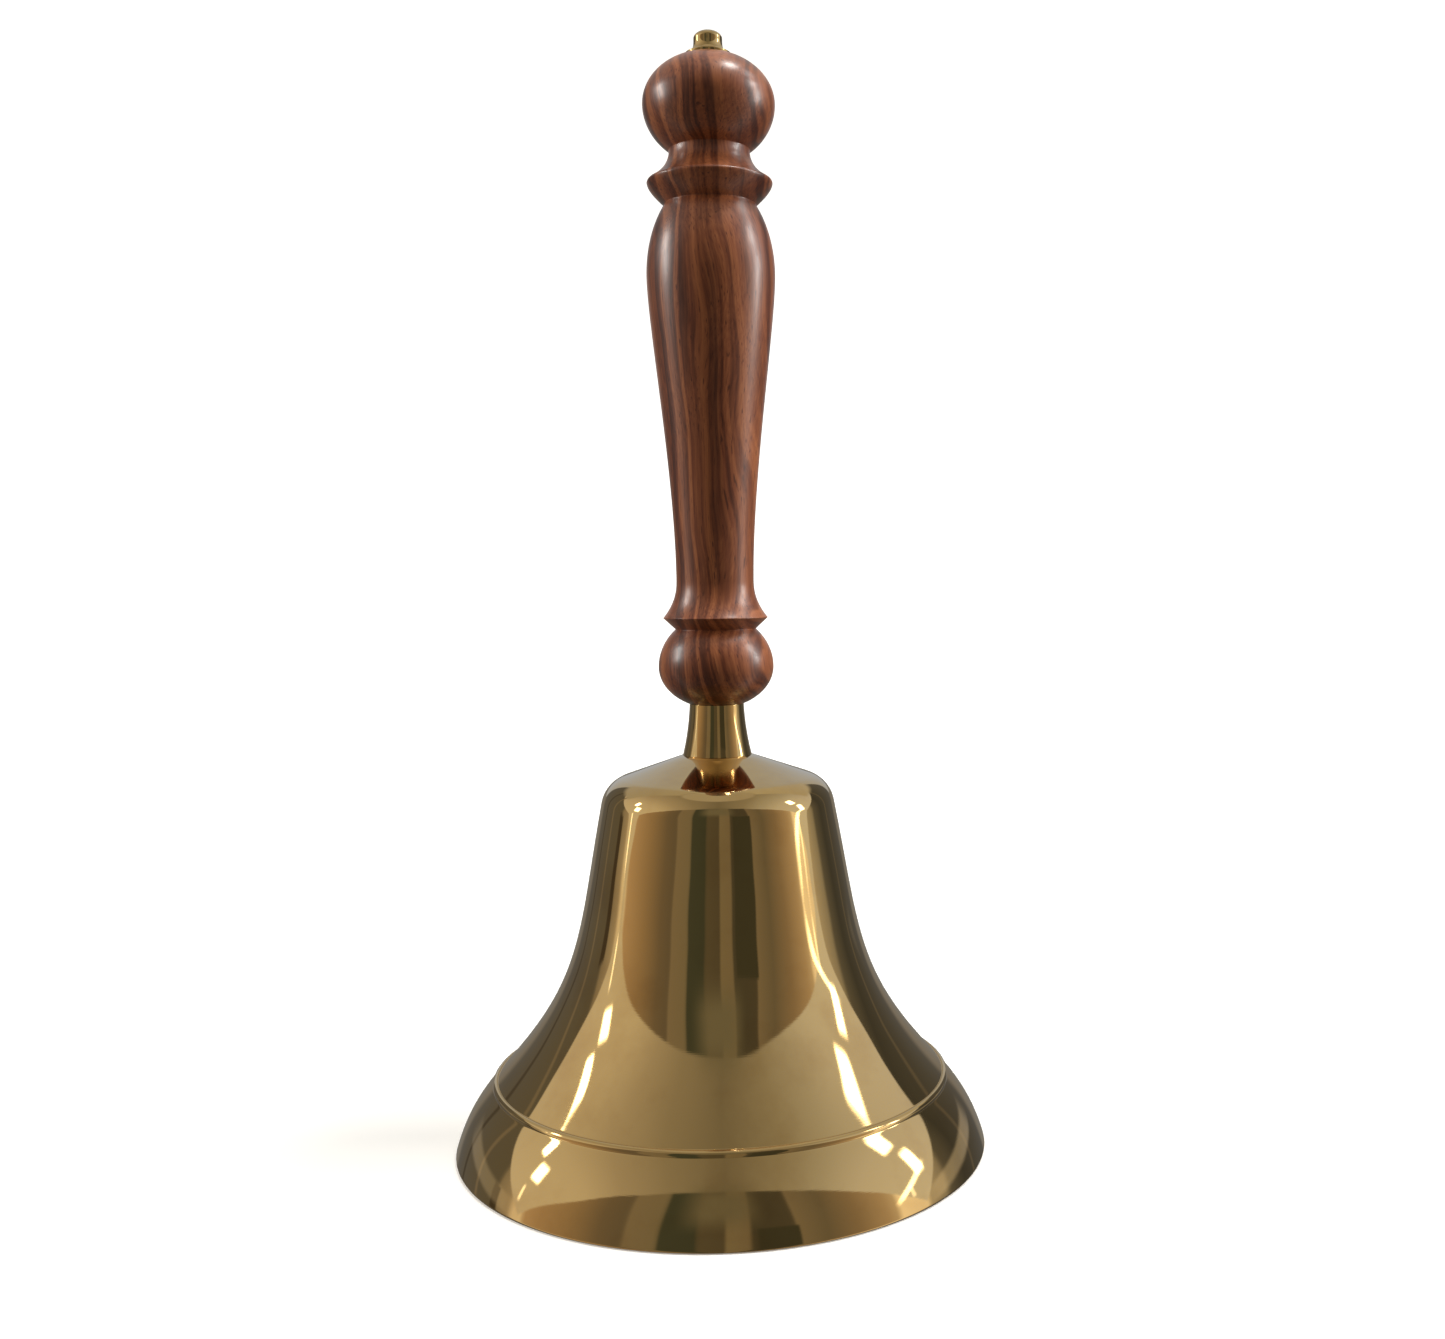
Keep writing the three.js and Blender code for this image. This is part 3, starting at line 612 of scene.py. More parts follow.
def with_nodes(obj, tree, inputs):
    modifier = obj.modifiers.new("nodes", "NODES")
    modifier.node_group = tree
    sockets = {s.name: s.identifier for s in tree.interface.items_tree if s.in_out == "INPUT"}
    for key, value in inputs.items():
        modifier[sockets[key]] = value
    return obj


CRISP = math.radians(32)


def turned(name, outline, finish, facets, ease):
    """A piece turned from its outline, which runs up the outside and down the inside."""
    closed = outline[0].x > 0 or outline[-1].x > 0
    points = [(p.x, 0, p.y) for p in eased(outline, ease, closed)]
    obj = line_object(name + "_outline", points, closed)
    tree = bpy.data.node_groups.get("turned_on_a_lathe") or lathe_tree()
    with_nodes(obj, tree, {"Facets": facets, "Hub": HUB, "Crisp angle": CRISP, "Finish": finish})
    return evaluated(obj, name)


def threaded_bar(name, low, high, radius, pitch, depth, threads, finish, facets):
    """A bar along Z. threads lists the stretches (from, to) that are cut with a thread."""
    heights, depths = [low], [0.0]
    step = pitch / 10
    for start, stop in threads:
        count = round((stop - start) / step)
        for i in range(count + 1):
            z = start + (stop - start) * i / count
            if z <= heights[-1]:
                continue
            run_out = min((z - start), (stop - z)) / pitch
            heights.append(z)
            depths.append(depth * min(run_out, 1))
    if heights[-1] < high:
        heights.append(high)
        depths.append(0.0)
    obj = line_object(name + "_line", [(0, 0, z) for z in heights], False)
    obj.data.attributes.new("thread_depth", "FLOAT", "POINT").data.foreach_set("value", depths)
    tree = bpy.data.node_groups.get("threaded_bar") or thread_tree()
    with_nodes(obj, tree, {
        "Facets": facets, "Radius": radius, "Pitch": pitch, "Crisp angle": CRISP, "Finish": finish
    })
    return evaluated(obj, name)


# Solid work for the small fittings


def block(low, high):
    made = bmesh.new()
    bmesh.ops.create_cube(made, size=1)
    for v in made.verts:
        v.co = Vector(low[i] + (v.co[i] + 0.5) * (high[i] - low[i]) for i in range(3))
    return loose_object("block", made)


def round_bar(radius, low, high, facets, axis="Z"):
    """A cylinder between two places on its axis, which is Z, or Y through the pin."""
    made = bmesh.new()
    bmesh.ops.create_cone(
        made, cap_ends=True, segments=facets, radius1=radius, radius2=radius, depth=high - low,
        matrix=Matrix.Translation((0, 0, (low + high) / 2)),
    )
    if axis == "Y":
        bmesh.ops.transform(made, matrix=ON_THE_PIN, verts=made.verts)
    return loose_object("bar", made)


def plate(outline, thickness):
    """An outline in the XZ plane, as thick as asked along Y, centred."""
    made = bmesh.new()
    face = made.faces.new([made.verts.new((p.x, -thickness / 2, p.y)) for p in outline])
    bmesh.ops.recalc_face_normals(made, faces=[face])
    grown = bmesh.ops.extrude_face_region(made, geom=[face])
    bmesh.ops.translate(
        made, vec=(0, thickness, 0), verts=[g for g in grown["geom"] if isinstance(g, bmesh.types.BMVert)]
    )
    bmesh.ops.recalc_face_normals(made, faces=made.faces)
    return loose_object("plate", made)


def loose_object(name, made):
    mesh = bpy.data.meshes.new(name)
    made.to_mesh(mesh)
    made.free()
    obj = bpy.data.objects.new(name, mesh)
    bpy.context.scene.collection.objects.link(obj)
    return obj


def in_order(mesh):
    """Puts points and faces in one order.

    A Boolean leaves their order to chance, and what is cut or bevelled next would follow it.
    """
    order = sorted(range(len(mesh.vertices)), key=lambda i: tuple(mesh.vertices[i].co))
    rank = {old: new for new, old in enumerate(order)}
    points = [mesh.vertices[i].co.copy() for i in order]
    faces = []
    for face in mesh.polygons:
        loop = [rank[i] for i in face.vertices]
        first = loop.index(min(loop))
        faces.append(loop[first:] + loop[:first])
    mesh.clear_geometry()
    mesh.from_pydata(points, [], sorted(faces))


def carve(name, body, steps):
    """body with each (operation, tool) applied in turn."""
    for operation, tool in steps:
        cut = body.modifiers.new("cut", "BOOLEAN")
        cut.operation, cut.object, cut.solver = operation, tool, "EXACT"
        body = evaluated(body, name)
        in_order(body.data)
        mesh = tool.data
        bpy.data.objects.remove(tool)
        bpy.data.meshes.remove(mesh)
    return body


def welded(obj):
    """Joins the points that meet."""
    made = bmesh.new()
    made.from_mesh(obj.data)
    bmesh.ops.remove_doubles(made, verts=made.verts, dist=WELD)
    made.to_mesh(obj.data)
    made.free()
    return obj


def deburred(obj, width, finish):
    """Small bevels on the edges, so that they catch the light as real ones do."""
    bevel = welded(obj).modifiers.new("deburr", "BEVEL")
    bevel.width, bevel.segments, bevel.limit_method, bevel.angle_limit = width, 2, "ANGLE", CRISP
    bevel.harden_normals = False
    name = obj.name
    obj.name = name + "_raw"
    made = evaluated(obj, name)
    made.data.materials.clear()
    made.data.materials.append(finish)
    made.data.shade_smooth()
    made.data.set_sharp_from_angle(angle=CRISP)
    return made


# Finishes


def rgba(value):
    return (*value, 1.0)


def new_finish(name):
    """A material whose shader is joined to its output, and waits for its inputs."""
    finish = bpy.data.materials.new(name)
    finish.use_nodes = True
    tree = finish.node_tree
    tree.nodes.clear()
    shader = add_node(tree, "ShaderNodeBsdfPrincipled")
    add_node(tree, "ShaderNodeOutputMaterial", {"Surface": shader.outputs["BSDF"]})
    return finish, tree, shader


def lathe_coordinates(tree, across, along):
    """Seamless coordinates round the axis, for marks that the lathe or the mop draws round a piece.

    A noise on them has `across` cells round the piece and `along` cells a metre up its wall.
    """
    place = add_node(tree, "ShaderNodeTexCoord").outputs["Object"]
    flat = add_node(tree, "ShaderNodeVectorMath", {0: place, 1: (1, 1, 0)}, operation="MULTIPLY").outputs[0]
    out = add_node(tree, "ShaderNodeVectorMath", {0: flat}, operation="NORMALIZE").outputs[0]
    radius = add_node(tree, "ShaderNodeVectorMath", {0: flat}, operation="LENGTH").outputs["Value"]
    height = add_node(tree, "ShaderNodeSeparateXYZ", {0: place}).outputs["Z"]
    wall = add_node(tree, "ShaderNodeMath", {0: height, 1: radius}, operation="SUBTRACT").outputs[0]
    rise = add_node(tree, "ShaderNodeMath", {0: wall, 1: along}, operation="MULTIPLY").outputs[0]
    up = add_node(tree, "ShaderNodeCombineXYZ", {"Z": rise}).outputs[0]
    return add_node(
        tree, "ShaderNodeVectorMath", {0: out, 1: (across,) * 3, 2: up}, operation="MULTIPLY_ADD"
    ).outputs[0]


def polished_brass(f):
    """Lacquered brass, turned and buffed: a mirror that is a little wavy, with hair lines from the mop.

    The clear lacquer lays a paler, colourless gleam over the gold where the wall is seen aslant.
    """
    finish, tree, shader = new_finish("buffed_brass")
    place = add_node(tree, "ShaderNodeTexCoord").outputs["Object"]
    # Handling leaves dull clouds of 15 to 20 mm, with fingerprints' finer breaks in them.
    cloud = add_node(
        tree, "ShaderNodeTexNoise", {"Vector": place, "Scale": 55, "Detail": 4, "Roughness": 0.6}
    ).outputs["Fac"]
    dulled = add_node(
        tree, "ShaderNodeMapRange", {"Value": cloud, "From Min": 0.5, "From Max": 0.72, "To Max": 0.4}
    ).outputs["Result"]
    tone = add_node(
        tree, "ShaderNodeMix",
        {"Factor": dulled, 6: rgba(f.brass), 7: rgba(f.brass_tarnish)}, data_type="RGBA",
    ).outputs[2]
    # Hair lines 0.4 mm apart, coarser than the mop's real ones, so that they show.
    hair = add_node(
        tree, "ShaderNodeTexNoise",
        {"Vector": lathe_coordinates(tree, 2.5, 2400), "Scale": 1.0, "Detail": 4, "Roughness": 0.65},
    ).outputs["Fac"]
    sheen = add_node(
        tree, "ShaderNodeMapRange",
        {"Value": cloud, "From Min": 0.35, "From Max": 0.75, "To Min": 0.02, "To Max": 0.05},
    ).outputs["Result"]
    drag = add_node(
        tree, "ShaderNodeMapRange", {"Value": hair, "From Min": 0.4, "From Max": 0.7, "To Max": 0.02}
    ).outputs["Result"]
    rough = add_node(tree, "ShaderNodeMath", {0: sheen, 1: drag}, operation="ADD").outputs[0]
    # Buffing by hand leaves a swell of about a tenth of a millimetre every 25 mm or so.
    swell = add_node(
        tree, "ShaderNodeTexNoise", {"Vector": place, "Scale": 38, "Detail": 1, "Roughness": 0.4}
    ).outputs["Fac"]
    wavy = add_node(
        tree, "ShaderNodeBump", {"Strength": 1.0, "Distance": 0.0004, "Height": swell}
    ).outputs[0]
    lined = add_node(
        tree, "ShaderNodeBump", {"Strength": 0.12, "Distance": 0.00002, "Height": hair, "Normal": wavy}
    ).outputs[0]
    feed(tree, shader, {
        "Base Color": tone, "Metallic": 1.0, "Roughness": rough, "Normal": lined,
        "Coat Weight": 1.0, "Coat Roughness": 0.03, "Coat IOR": 1.5, "Coat Normal": wavy,
    })
    return finish


def turned_brass(f):
    """Brass straight from the lathe: fine rings that spread the light across them."""
    finish, tree, shader = new_finish("lathe_turned_brass")
    # The tool's rings are 0.4 mm apart.
    rings = add_node(
        tree, "ShaderNodeTexNoise", {"Vector": lathe_coordinates(tree, 0.6, 2600), "Scale": 1.0, "Detail": 2}
    ).outputs["Fac"]
    place = add_node(tree, "ShaderNodeTexCoord").outputs["Object"]
    cloud = add_node(tree, "ShaderNodeTexNoise", {"Vector": place, "Scale": 70, "Detail": 3}).outputs["Fac"]
    aged = add_node(
        tree, "ShaderNodeMapRange", {"Value": cloud, "From Min": 0.4, "From Max": 0.7, "To Max": 0.6}
    ).outputs["Result"]
    tone = add_node(
        tree, "ShaderNodeMix",
        {"Factor": aged, 6: rgba(f.cast_brass), 7: rgba(f.brass_tarnish)}, data_type="RGBA",
    ).outputs[2]
    rough = add_node(
        tree, "ShaderNodeMapRange",
        {"Value": rings, "From Min": 0.3, "From Max": 0.7, "To Min": 0.2, "To Max": 0.34},
    ).outputs["Result"]
    ridged = add_node(
        tree, "ShaderNodeBump", {"Strength": 0.5, "Distance": 0.00005, "Height": rings}
    ).outputs[0]
    feed(tree, shader, {"Base Color": tone, "Metallic": 1.0, "Roughness": rough, "Normal": ridged})
    return finish


def rosewood(f):
    """Lacquered rosewood: growth bands that sway up the handle, dark ink lines, fine fibre and pores."""
    finish, tree, shader = new_finish("lacquered_rosewood")
    place = add_node(tree, "ShaderNodeTexCoord").outputs["Object"]
    # The blank was sawn about 75 mm from the heart and a little off its line, so the bands run up it aslant.
    heart = add_node(
        tree, "ShaderNodeMapping",
        {"Vector": place, "Location": (0.075, -0.008, 0), "Rotation": (0.03, 0.035, 0)},
    ).outputs[0]
    drawn_out = add_node(
        tree, "ShaderNodeVectorMath", {0: heart, 1: (1, 1, 0.3)}, operation="MULTIPLY"
    ).outputs[0]
    sway = add_node(
        tree, "ShaderNodeTexNoise", {"Vector": drawn_out, "Scale": 42, "Detail": 2}
    ).outputs["Color"]
    centred = add_node(
        tree, "ShaderNodeVectorMath", {0: sway, 1: (0.5, 0.5, 0.5)}, operation="SUBTRACT"
    ).outputs[0]
    swayed = add_node(
        tree, "ShaderNodeVectorMath", {0: centred, 1: (0.016, 0.016, 0), 2: heart}, operation="MULTIPLY_ADD"
    ).outputs[0]
    flat = add_node(tree, "ShaderNodeVectorMath", {0: swayed, 1: (1, 1, 0)}, operation="MULTIPLY").outputs[0]
    age = add_node(tree, "ShaderNodeVectorMath", {0: flat}, operation="LENGTH").outputs["Value"]
    # Growth bands of about 4 mm, with finer ones down to a seventh of a millimetre in them.
    bands = add_node(
        tree, "ShaderNodeTexNoise",
        {"W": age, "Scale": 230, "Detail": 5, "Roughness": 0.65}, noise_dimensions="1D",
    ).outputs["Fac"]
    # Fibre bundles 0.5 mm wide and 12 mm long, and pores 0.4 mm wide and 4 mm long.
    along_fibre = add_node(
        tree, "ShaderNodeVectorMath", {0: swayed, 1: (1, 1, 0.04)}, operation="MULTIPLY"
    ).outputs[0]
    fibre = add_node(
        tree, "ShaderNodeTexNoise", {"Vector": along_fibre, "Scale": 2000, "Detail": 3, "Roughness": 0.6}
    ).outputs["Fac"]
    along_pore = add_node(
        tree, "ShaderNodeVectorMath", {0: swayed, 1: (1, 1, 0.1)}, operation="MULTIPLY"
    ).outputs[0]
    pore = add_node(
        tree, "ShaderNodeTexNoise", {"Vector": along_pore, "Scale": 2400, "Detail": 1, "Roughness": 0.4}
    ).outputs["Fac"]
    # Stripes of a lighter and a darker cast, 13 mm across, where the grain turns in and out of the surface.
    cast = add_node(
        tree, "ShaderNodeTexNoise", {"Vector": drawn_out, "Scale": 75, "Detail": 2}
    ).outputs["Fac"]
    grain = add_node(
        tree, "ShaderNodeMapRange",
        {"Value": fibre, "From Min": 0.25, "From Max": 0.75, "To Min": -0.1, "To Max": 0.1},
    ).outputs["Result"]
    shade = add_node(
        tree, "ShaderNodeMapRange",
        {"Value": cast, "From Min": 0.25, "From Max": 0.75, "To Min": -0.07, "To Max": 0.07},
    ).outputs["Result"]
    lit = add_node(tree, "ShaderNodeMath", {0: grain, 1: shade}, operation="ADD").outputs[0]
    # The wood is lighter towards the bark.
    outer = add_node(
        tree, "ShaderNodeMapRange",
        {"Value": age, "From Min": 0.065, "From Max": 0.087, "To Min": -0.03, "To Max": 0.04},
    ).outputs["Result"]
    paler = add_node(tree, "ShaderNodeMath", {0: lit, 1: outer}, operation="ADD").outputs[0]
    tone = add_node(tree, "ShaderNodeMath", {0: bands, 1: paler}, operation="ADD").outputs[0]
    ramp = add_node(tree, "ShaderNodeValToRGB", {"Fac": tone})
    stops = [(0.3, f.wood_dark), (0.5, f.wood_mid), (0.76, f.wood_light)]
    ramp.color_ramp.elements.new(0.5)
    ramp.color_ramp.interpolation = "B_SPLINE"
    for element, (position, value) in zip(ramp.color_ramp.elements, stops):
        element.position, element.color = position, rgba(value)
    # Ink lines half a millimetre wide stand where a slow noise over the tree's age crosses its middle.
    season = add_node(
        tree, "ShaderNodeTexNoise",
        {"W": age, "Scale": 230, "Detail": 1, "Roughness": 0.4}, noise_dimensions="1D",
    ).outputs["Fac"]
    crossing = add_node(tree, "ShaderNodeMath", {0: season, 1: 0.5}, operation="SUBTRACT").outputs[0]
    nearness = add_node(tree, "ShaderNodeMath", {0: crossing}, operation="ABSOLUTE").outputs[0]
    ink = add_node(
        tree, "ShaderNodeMapRange",
        {"Value": nearness, "From Min": 0.0, "From Max": 0.045, "To Min": 0.7, "To Max": 0},
    ).outputs["Result"]
    strength = add_node(
        tree, "ShaderNodeMapRange",
        {"Value": cast, "From Min": 0.38, "From Max": 0.62, "To Min": 1.0, "To Max": 0.15},
    ).outputs["Result"]
    line = add_node(tree, "ShaderNodeMath", {0: ink, 1: strength}, operation="MULTIPLY").outputs[0]
    hole = add_node(
        tree, "ShaderNodeMapRange", {"Value": pore, "From Min": 0.62, "From Max": 0.74, "To Max": 0.7}
    ).outputs["Result"]
    darkest = add_node(tree, "ShaderNodeMath", {0: line, 1: hole}, operation="MAXIMUM").outputs[0]
    stained = add_node(
        tree, "ShaderNodeMix",
        {"Factor": darkest, 6: ramp.outputs["Color"], 7: rgba(f.wood_dark)}, data_type="RGBA",
    ).outputs[2]
    satin = add_node(
        tree, "ShaderNodeMapRange",
        {"Value": fibre, "From Min": 0.3, "From Max": 0.7, "To Min": 0.4, "To Max": 0.52},
    ).outputs["Result"]
    raised = add_node(
        tree, "ShaderNodeBump", {"Strength": 0.25, "Distance": 0.00004, "Height": fibre}
    ).outputs[0]
    feed(tree, shader, {
        "Base Color": stained, "Roughness": satin, "Specular IOR Level": 0.15, "Normal": raised,
        "Coat Weight": 1.0, "Coat Roughness": 0.3, "Coat IOR": 1.45,
    })
    return finish


def plated_steel(f):
    """Bright zinc plate on turned steel: a cool grey with a faint cloudy spangle."""
    finish, tree, shader = new_finish("zinc_plated_steel")
    place = add_node(tree, "ShaderNodeTexCoord").outputs["Object"]
    # Spangle of 2 to 3 mm.
    cloud = add_node(tree, "ShaderNodeTexNoise", {"Vector": place, "Scale": 420, "Detail": 3}).outputs["Fac"]
    # Tool marks 0.2 mm apart.
    marks = add_node(
        tree, "ShaderNodeTexNoise", {"Vector": lathe_coordinates(tree, 1.2, 5200), "Scale": 1.0, "Detail": 2}
    ).outputs["Fac"]
    value = add_node(
        tree, "ShaderNodeMapRange",
        {"Value": cloud, "From Min": 0.3, "From Max": 0.7, "To Min": 0.88, "To Max": 1.08},
    ).outputs["Result"]
    tone = add_node(tree, "ShaderNodeHueSaturation", {"Color": rgba(f.steel), "Value": value}).outputs[0]
    rough = add_node(
        tree, "ShaderNodeMapRange",
        {"Value": cloud, "From Min": 0.3, "From Max": 0.7, "To Min": 0.26, "To Max": 0.4},
    ).outputs["Result"]
    marked = add_node(
        tree, "ShaderNodeBump", {"Strength": 0.3, "Distance": 0.00002, "Height": marks}
    ).outputs[0]
    feed(tree, shader, {"Base Color": tone, "Metallic": 1.0, "Roughness": rough, "Normal": marked})
    return finish


def tanned_leather(f):
    """Vegetable tanned leather, cut and unfinished: matt, mottled and a little fibrous at the edge."""
    finish, tree, shader = new_finish("vegetable_tanned_leather")
    place = add_node(tree, "ShaderNodeTexCoord").outputs["Object"]
    # Fibre clumps of about 1 mm.
    mottle = add_node(
        tree, "ShaderNodeTexNoise", {"Vector": place, "Scale": 900, "Detail": 4, "Roughness": 0.65}
    ).outputs["Fac"]
    value = add_node(
        tree, "ShaderNodeMapRange",
        {"Value": mottle, "From Min": 0.3, "From Max": 0.7, "To Min": 0.65, "To Max": 1.2},
    ).outputs["Result"]
    tone = add_node(tree, "ShaderNodeHueSaturation", {"Color": rgba(f.leather), "Value": value}).outputs[0]
    fuzzy = add_node(
        tree, "ShaderNodeBump", {"Strength": 0.6, "Distance": 0.0002, "Height": mottle}
    ).outputs[0]
    feed(tree, shader, {"Base Color": tone, "Roughness": 0.8, "Normal": fuzzy})
    return finish


def opal_sheet(f):
    """Opal acrylic of a product table, glowing with painted light in place of a lamp behind it: white
    everywhere, and whiter away from the middle.

    It is clear from below, so that the inside of the bell can be looked into.
    """
    finish, tree, shader = new_finish("opal_acrylic_sheet")
    place = add_node(tree, "ShaderNodeTexCoord").outputs["Object"]
    flat = add_node(tree, "ShaderNodeVectorMath", {0: place, 1: (1, 1, 0)}, operation="MULTIPLY").outputs[0]
    radius = add_node(tree, "ShaderNodeVectorMath", {0: flat}, operation="LENGTH").outputs["Value"]
    # Painted light: the sheet glows by its own emission, dim near the bell and bright far out, in place of
    # lamps that light it.
    glow = add_node(
        tree, "ShaderNodeMapRange",
        {"Value": radius, "From Min": 0.1, "From Max": 1.2, "To Min": 0.3, "To Max": 0.95},
        interpolation_type="SMOOTHSTEP",
    ).outputs["Result"]
    feed(tree, shader, {
        "Base Color": rgba(f.floor), "Roughness": 0.6,
        "Emission Color": rgba(f.floor), "Emission Strength": glow,
    })
    below = add_node(tree, "ShaderNodeNewGeometry").outputs["Backfacing"]
    clear = add_node(tree, "ShaderNodeBsdfTransparent").outputs[0]
    mixed = add_node(tree, "ShaderNodeMixShader", {0: below, 1: shader.outputs["BSDF"], 2: clear}).outputs[0]
    output = next(n for n in tree.nodes if n.type == "OUTPUT_MATERIAL")
    feed(tree, output, {"Surface": mixed})
    return finish


FINISHES = {
    "buffed_brass": polished_brass,
    "lathe_turned_brass": turned_brass,
    "lacquered_rosewood": rosewood,
    "zinc_plated_steel": plated_steel,
    "vegetable_tanned_leather": tanned_leather,
    "opal_acrylic_sheet": opal_sheet,
}


def finish_named(context, name):
    return bpy.data.materials.get(name) or FINISHES[name](context.scene.hand_bell_finishes)


def place_piece(piece, body, slot, *nodes):
    """The piece rides on its body and stands for its CAD nodes. Its slot is not used."""
    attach(piece, body)
    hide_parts(*nodes)


# Operators


class HANDBELL_OT_bell(bpy.types.Operator):
    """Turns the brass bell with its bead, shoulder and crown"""

    bl_idname = "hand_bell.bell"
    bl_label = "Turn the bell"

    def execute(self, context):
        s, f = context.scene.hand_bell_sizes, context.scene.hand_bell_fittings
        outline = bell_outline(s, f.rod_hole, FERRULE_HIGH.x + SEAT_MARGIN)
        bell = turned("brass_bell", outline, finish_named(context, "buffed_brass"), s.facets, s.arris)
        bell.data.materials.append(finish_named(context, "lathe_turned_brass"))
        inner = len(bell.data.materials) - 1
        for face in bell.data.polygons:
            if face.normal.x * face.center.x + face.normal.y * face.center.y < 0:
                face.material_index = inner
        place_piece(bell, BODY, "polished_brass", "bell")
        return {"FINISHED"}


class HANDBELL_OT_ferrule(bpy.types.Operator):
    """Turns the tapered brass collar between the crown and the handle"""

    bl_idname = "hand_bell.ferrule"
    bl_label = "Turn the ferrule"

    def execute(self, context):
        s, f = context.scene.hand_bell_sizes, context.scene.hand_bell_fittings
        finish = finish_named(context, "buffed_brass")
        ferrule = turned("brass_ferrule", ferrule_outline(f), finish, f.facets * 2, s.arris)
        place_piece(ferrule, BODY, "polished_brass", "ferrule")
        return {"FINISHED"}


class HANDBELL_OT_handle(bpy.types.Operator):
    """Turns the rosewood handle in one piece"""

    bl_idname = "hand_bell.handle"
    bl_label = "Turn the handle"

    def execute(self, context):
        s, f = context.scene.hand_bell_handle, context.scene.hand_bell_fittings
        finish = finish_named(context, "lacquered_rosewood")
        handle = turned("rosewood_handle", handle_outline(s, f.rod_hole), finish, s.facets, s.arris)
        place_piece(handle, BODY, "rosewood", "handle")
        return {"FINISHED"}


class HANDBELL_OT_finial(bpy.types.Operator):
    """Turns the domed brass nut on top of the handle"""

    bl_idname = "hand_bell.finial"
    bl_label = "Turn the finial nut"

    def execute(self, context):
        s, f = context.scene.hand_bell_sizes, context.scene.hand_bell_fittings
        finish = finish_named(context, "buffed_brass")
        finial = turned("brass_finial_nut", finial_outline(f), finish, f.facets, s.arris)
        place_piece(finial, BODY, "polished_brass", "finial_nut")
        return {"FINISHED"}


class HANDBELL_OT_clamp(bpy.types.Operator):
    """Makes the tie rod, the two washers and the nut that hold bell and handle together"""

    bl_idname = "hand_bell.clamp"
    bl_label = "Fit the rod, washers and nut"

    def execute(self, context):
        f = context.scene.hand_bell_fittings
        steel = finish_named(context, "zinc_plated_steel")
        low, high = ROD_LOW.z, ROD_HIGH.z
        threads = [(low, low + LOWER_THREAD), (high - UPPER_THREAD, high)]
        rod = threaded_bar(
            "steel_tie_rod", low, high, ROD_HIGH.x, f.thread_pitch, THREAD_DEPTH, threads, steel, ROD_FACETS
        )
        place_piece(rod, BODY, "steel", "tie_rod")
        for name, slot, node, box, finish, ease in (
            ("leather_washer_cut", "leather", "leather_washer", (LEATHER_LOW, LEATHER_HIGH),
             finish_named(context, "vegetable_tanned_leather"), LEATHER_EDGE),
            ("steel_washer_pressed", "steel", "steel_washer", (WASHER_LOW, WASHER_HIGH), steel,
             TURNED_STEEL_EDGE),
        ):
            low, high = box
            ring = [at(high.x, low.z), at(high.x, high.z), at(f.rod_hole, high.z), at(f.rod_hole, low.z)]
            place_piece(turned(name, ring, finish, f.facets, ease), BODY, slot, node)
        corner = NUT_HIGH.x
        flat = corner * math.cos(math.pi / 6)
        prism = round_bar(corner, NUT_LOW.z, NUT_HIGH.z, 6)
        prism.data.transform(Matrix.Rotation(math.pi / 6 + math.pi / 3, 4, "Z"))
        clear = corner * 1.02
        drop = (corner - flat) * math.tan(math.pi / 6) * 1.6
        cone = turned(
            "cone",
            [at(0, NUT_LOW.z), at(flat, NUT_LOW.z), at(clear, NUT_LOW.z + drop),
             at(clear, NUT_HIGH.z - drop), at(flat, NUT_HIGH.z), at(0, NUT_HIGH.z)],
            steel, f.facets, SHARP_EDGE,
        )
        hole = round_bar(f.thread_hole, NUT_LOW.z - MM, NUT_HIGH.z + MM, BORE_FACETS)
        nut = carve("steel_crown_nut", prism, [("INTERSECT", cone), ("DIFFERENCE", hole)])
        place_piece(deburred(nut, CARVED_STEEL_EDGE, steel), BODY, "steel", "crown_nut")
        return {"FINISHED"}


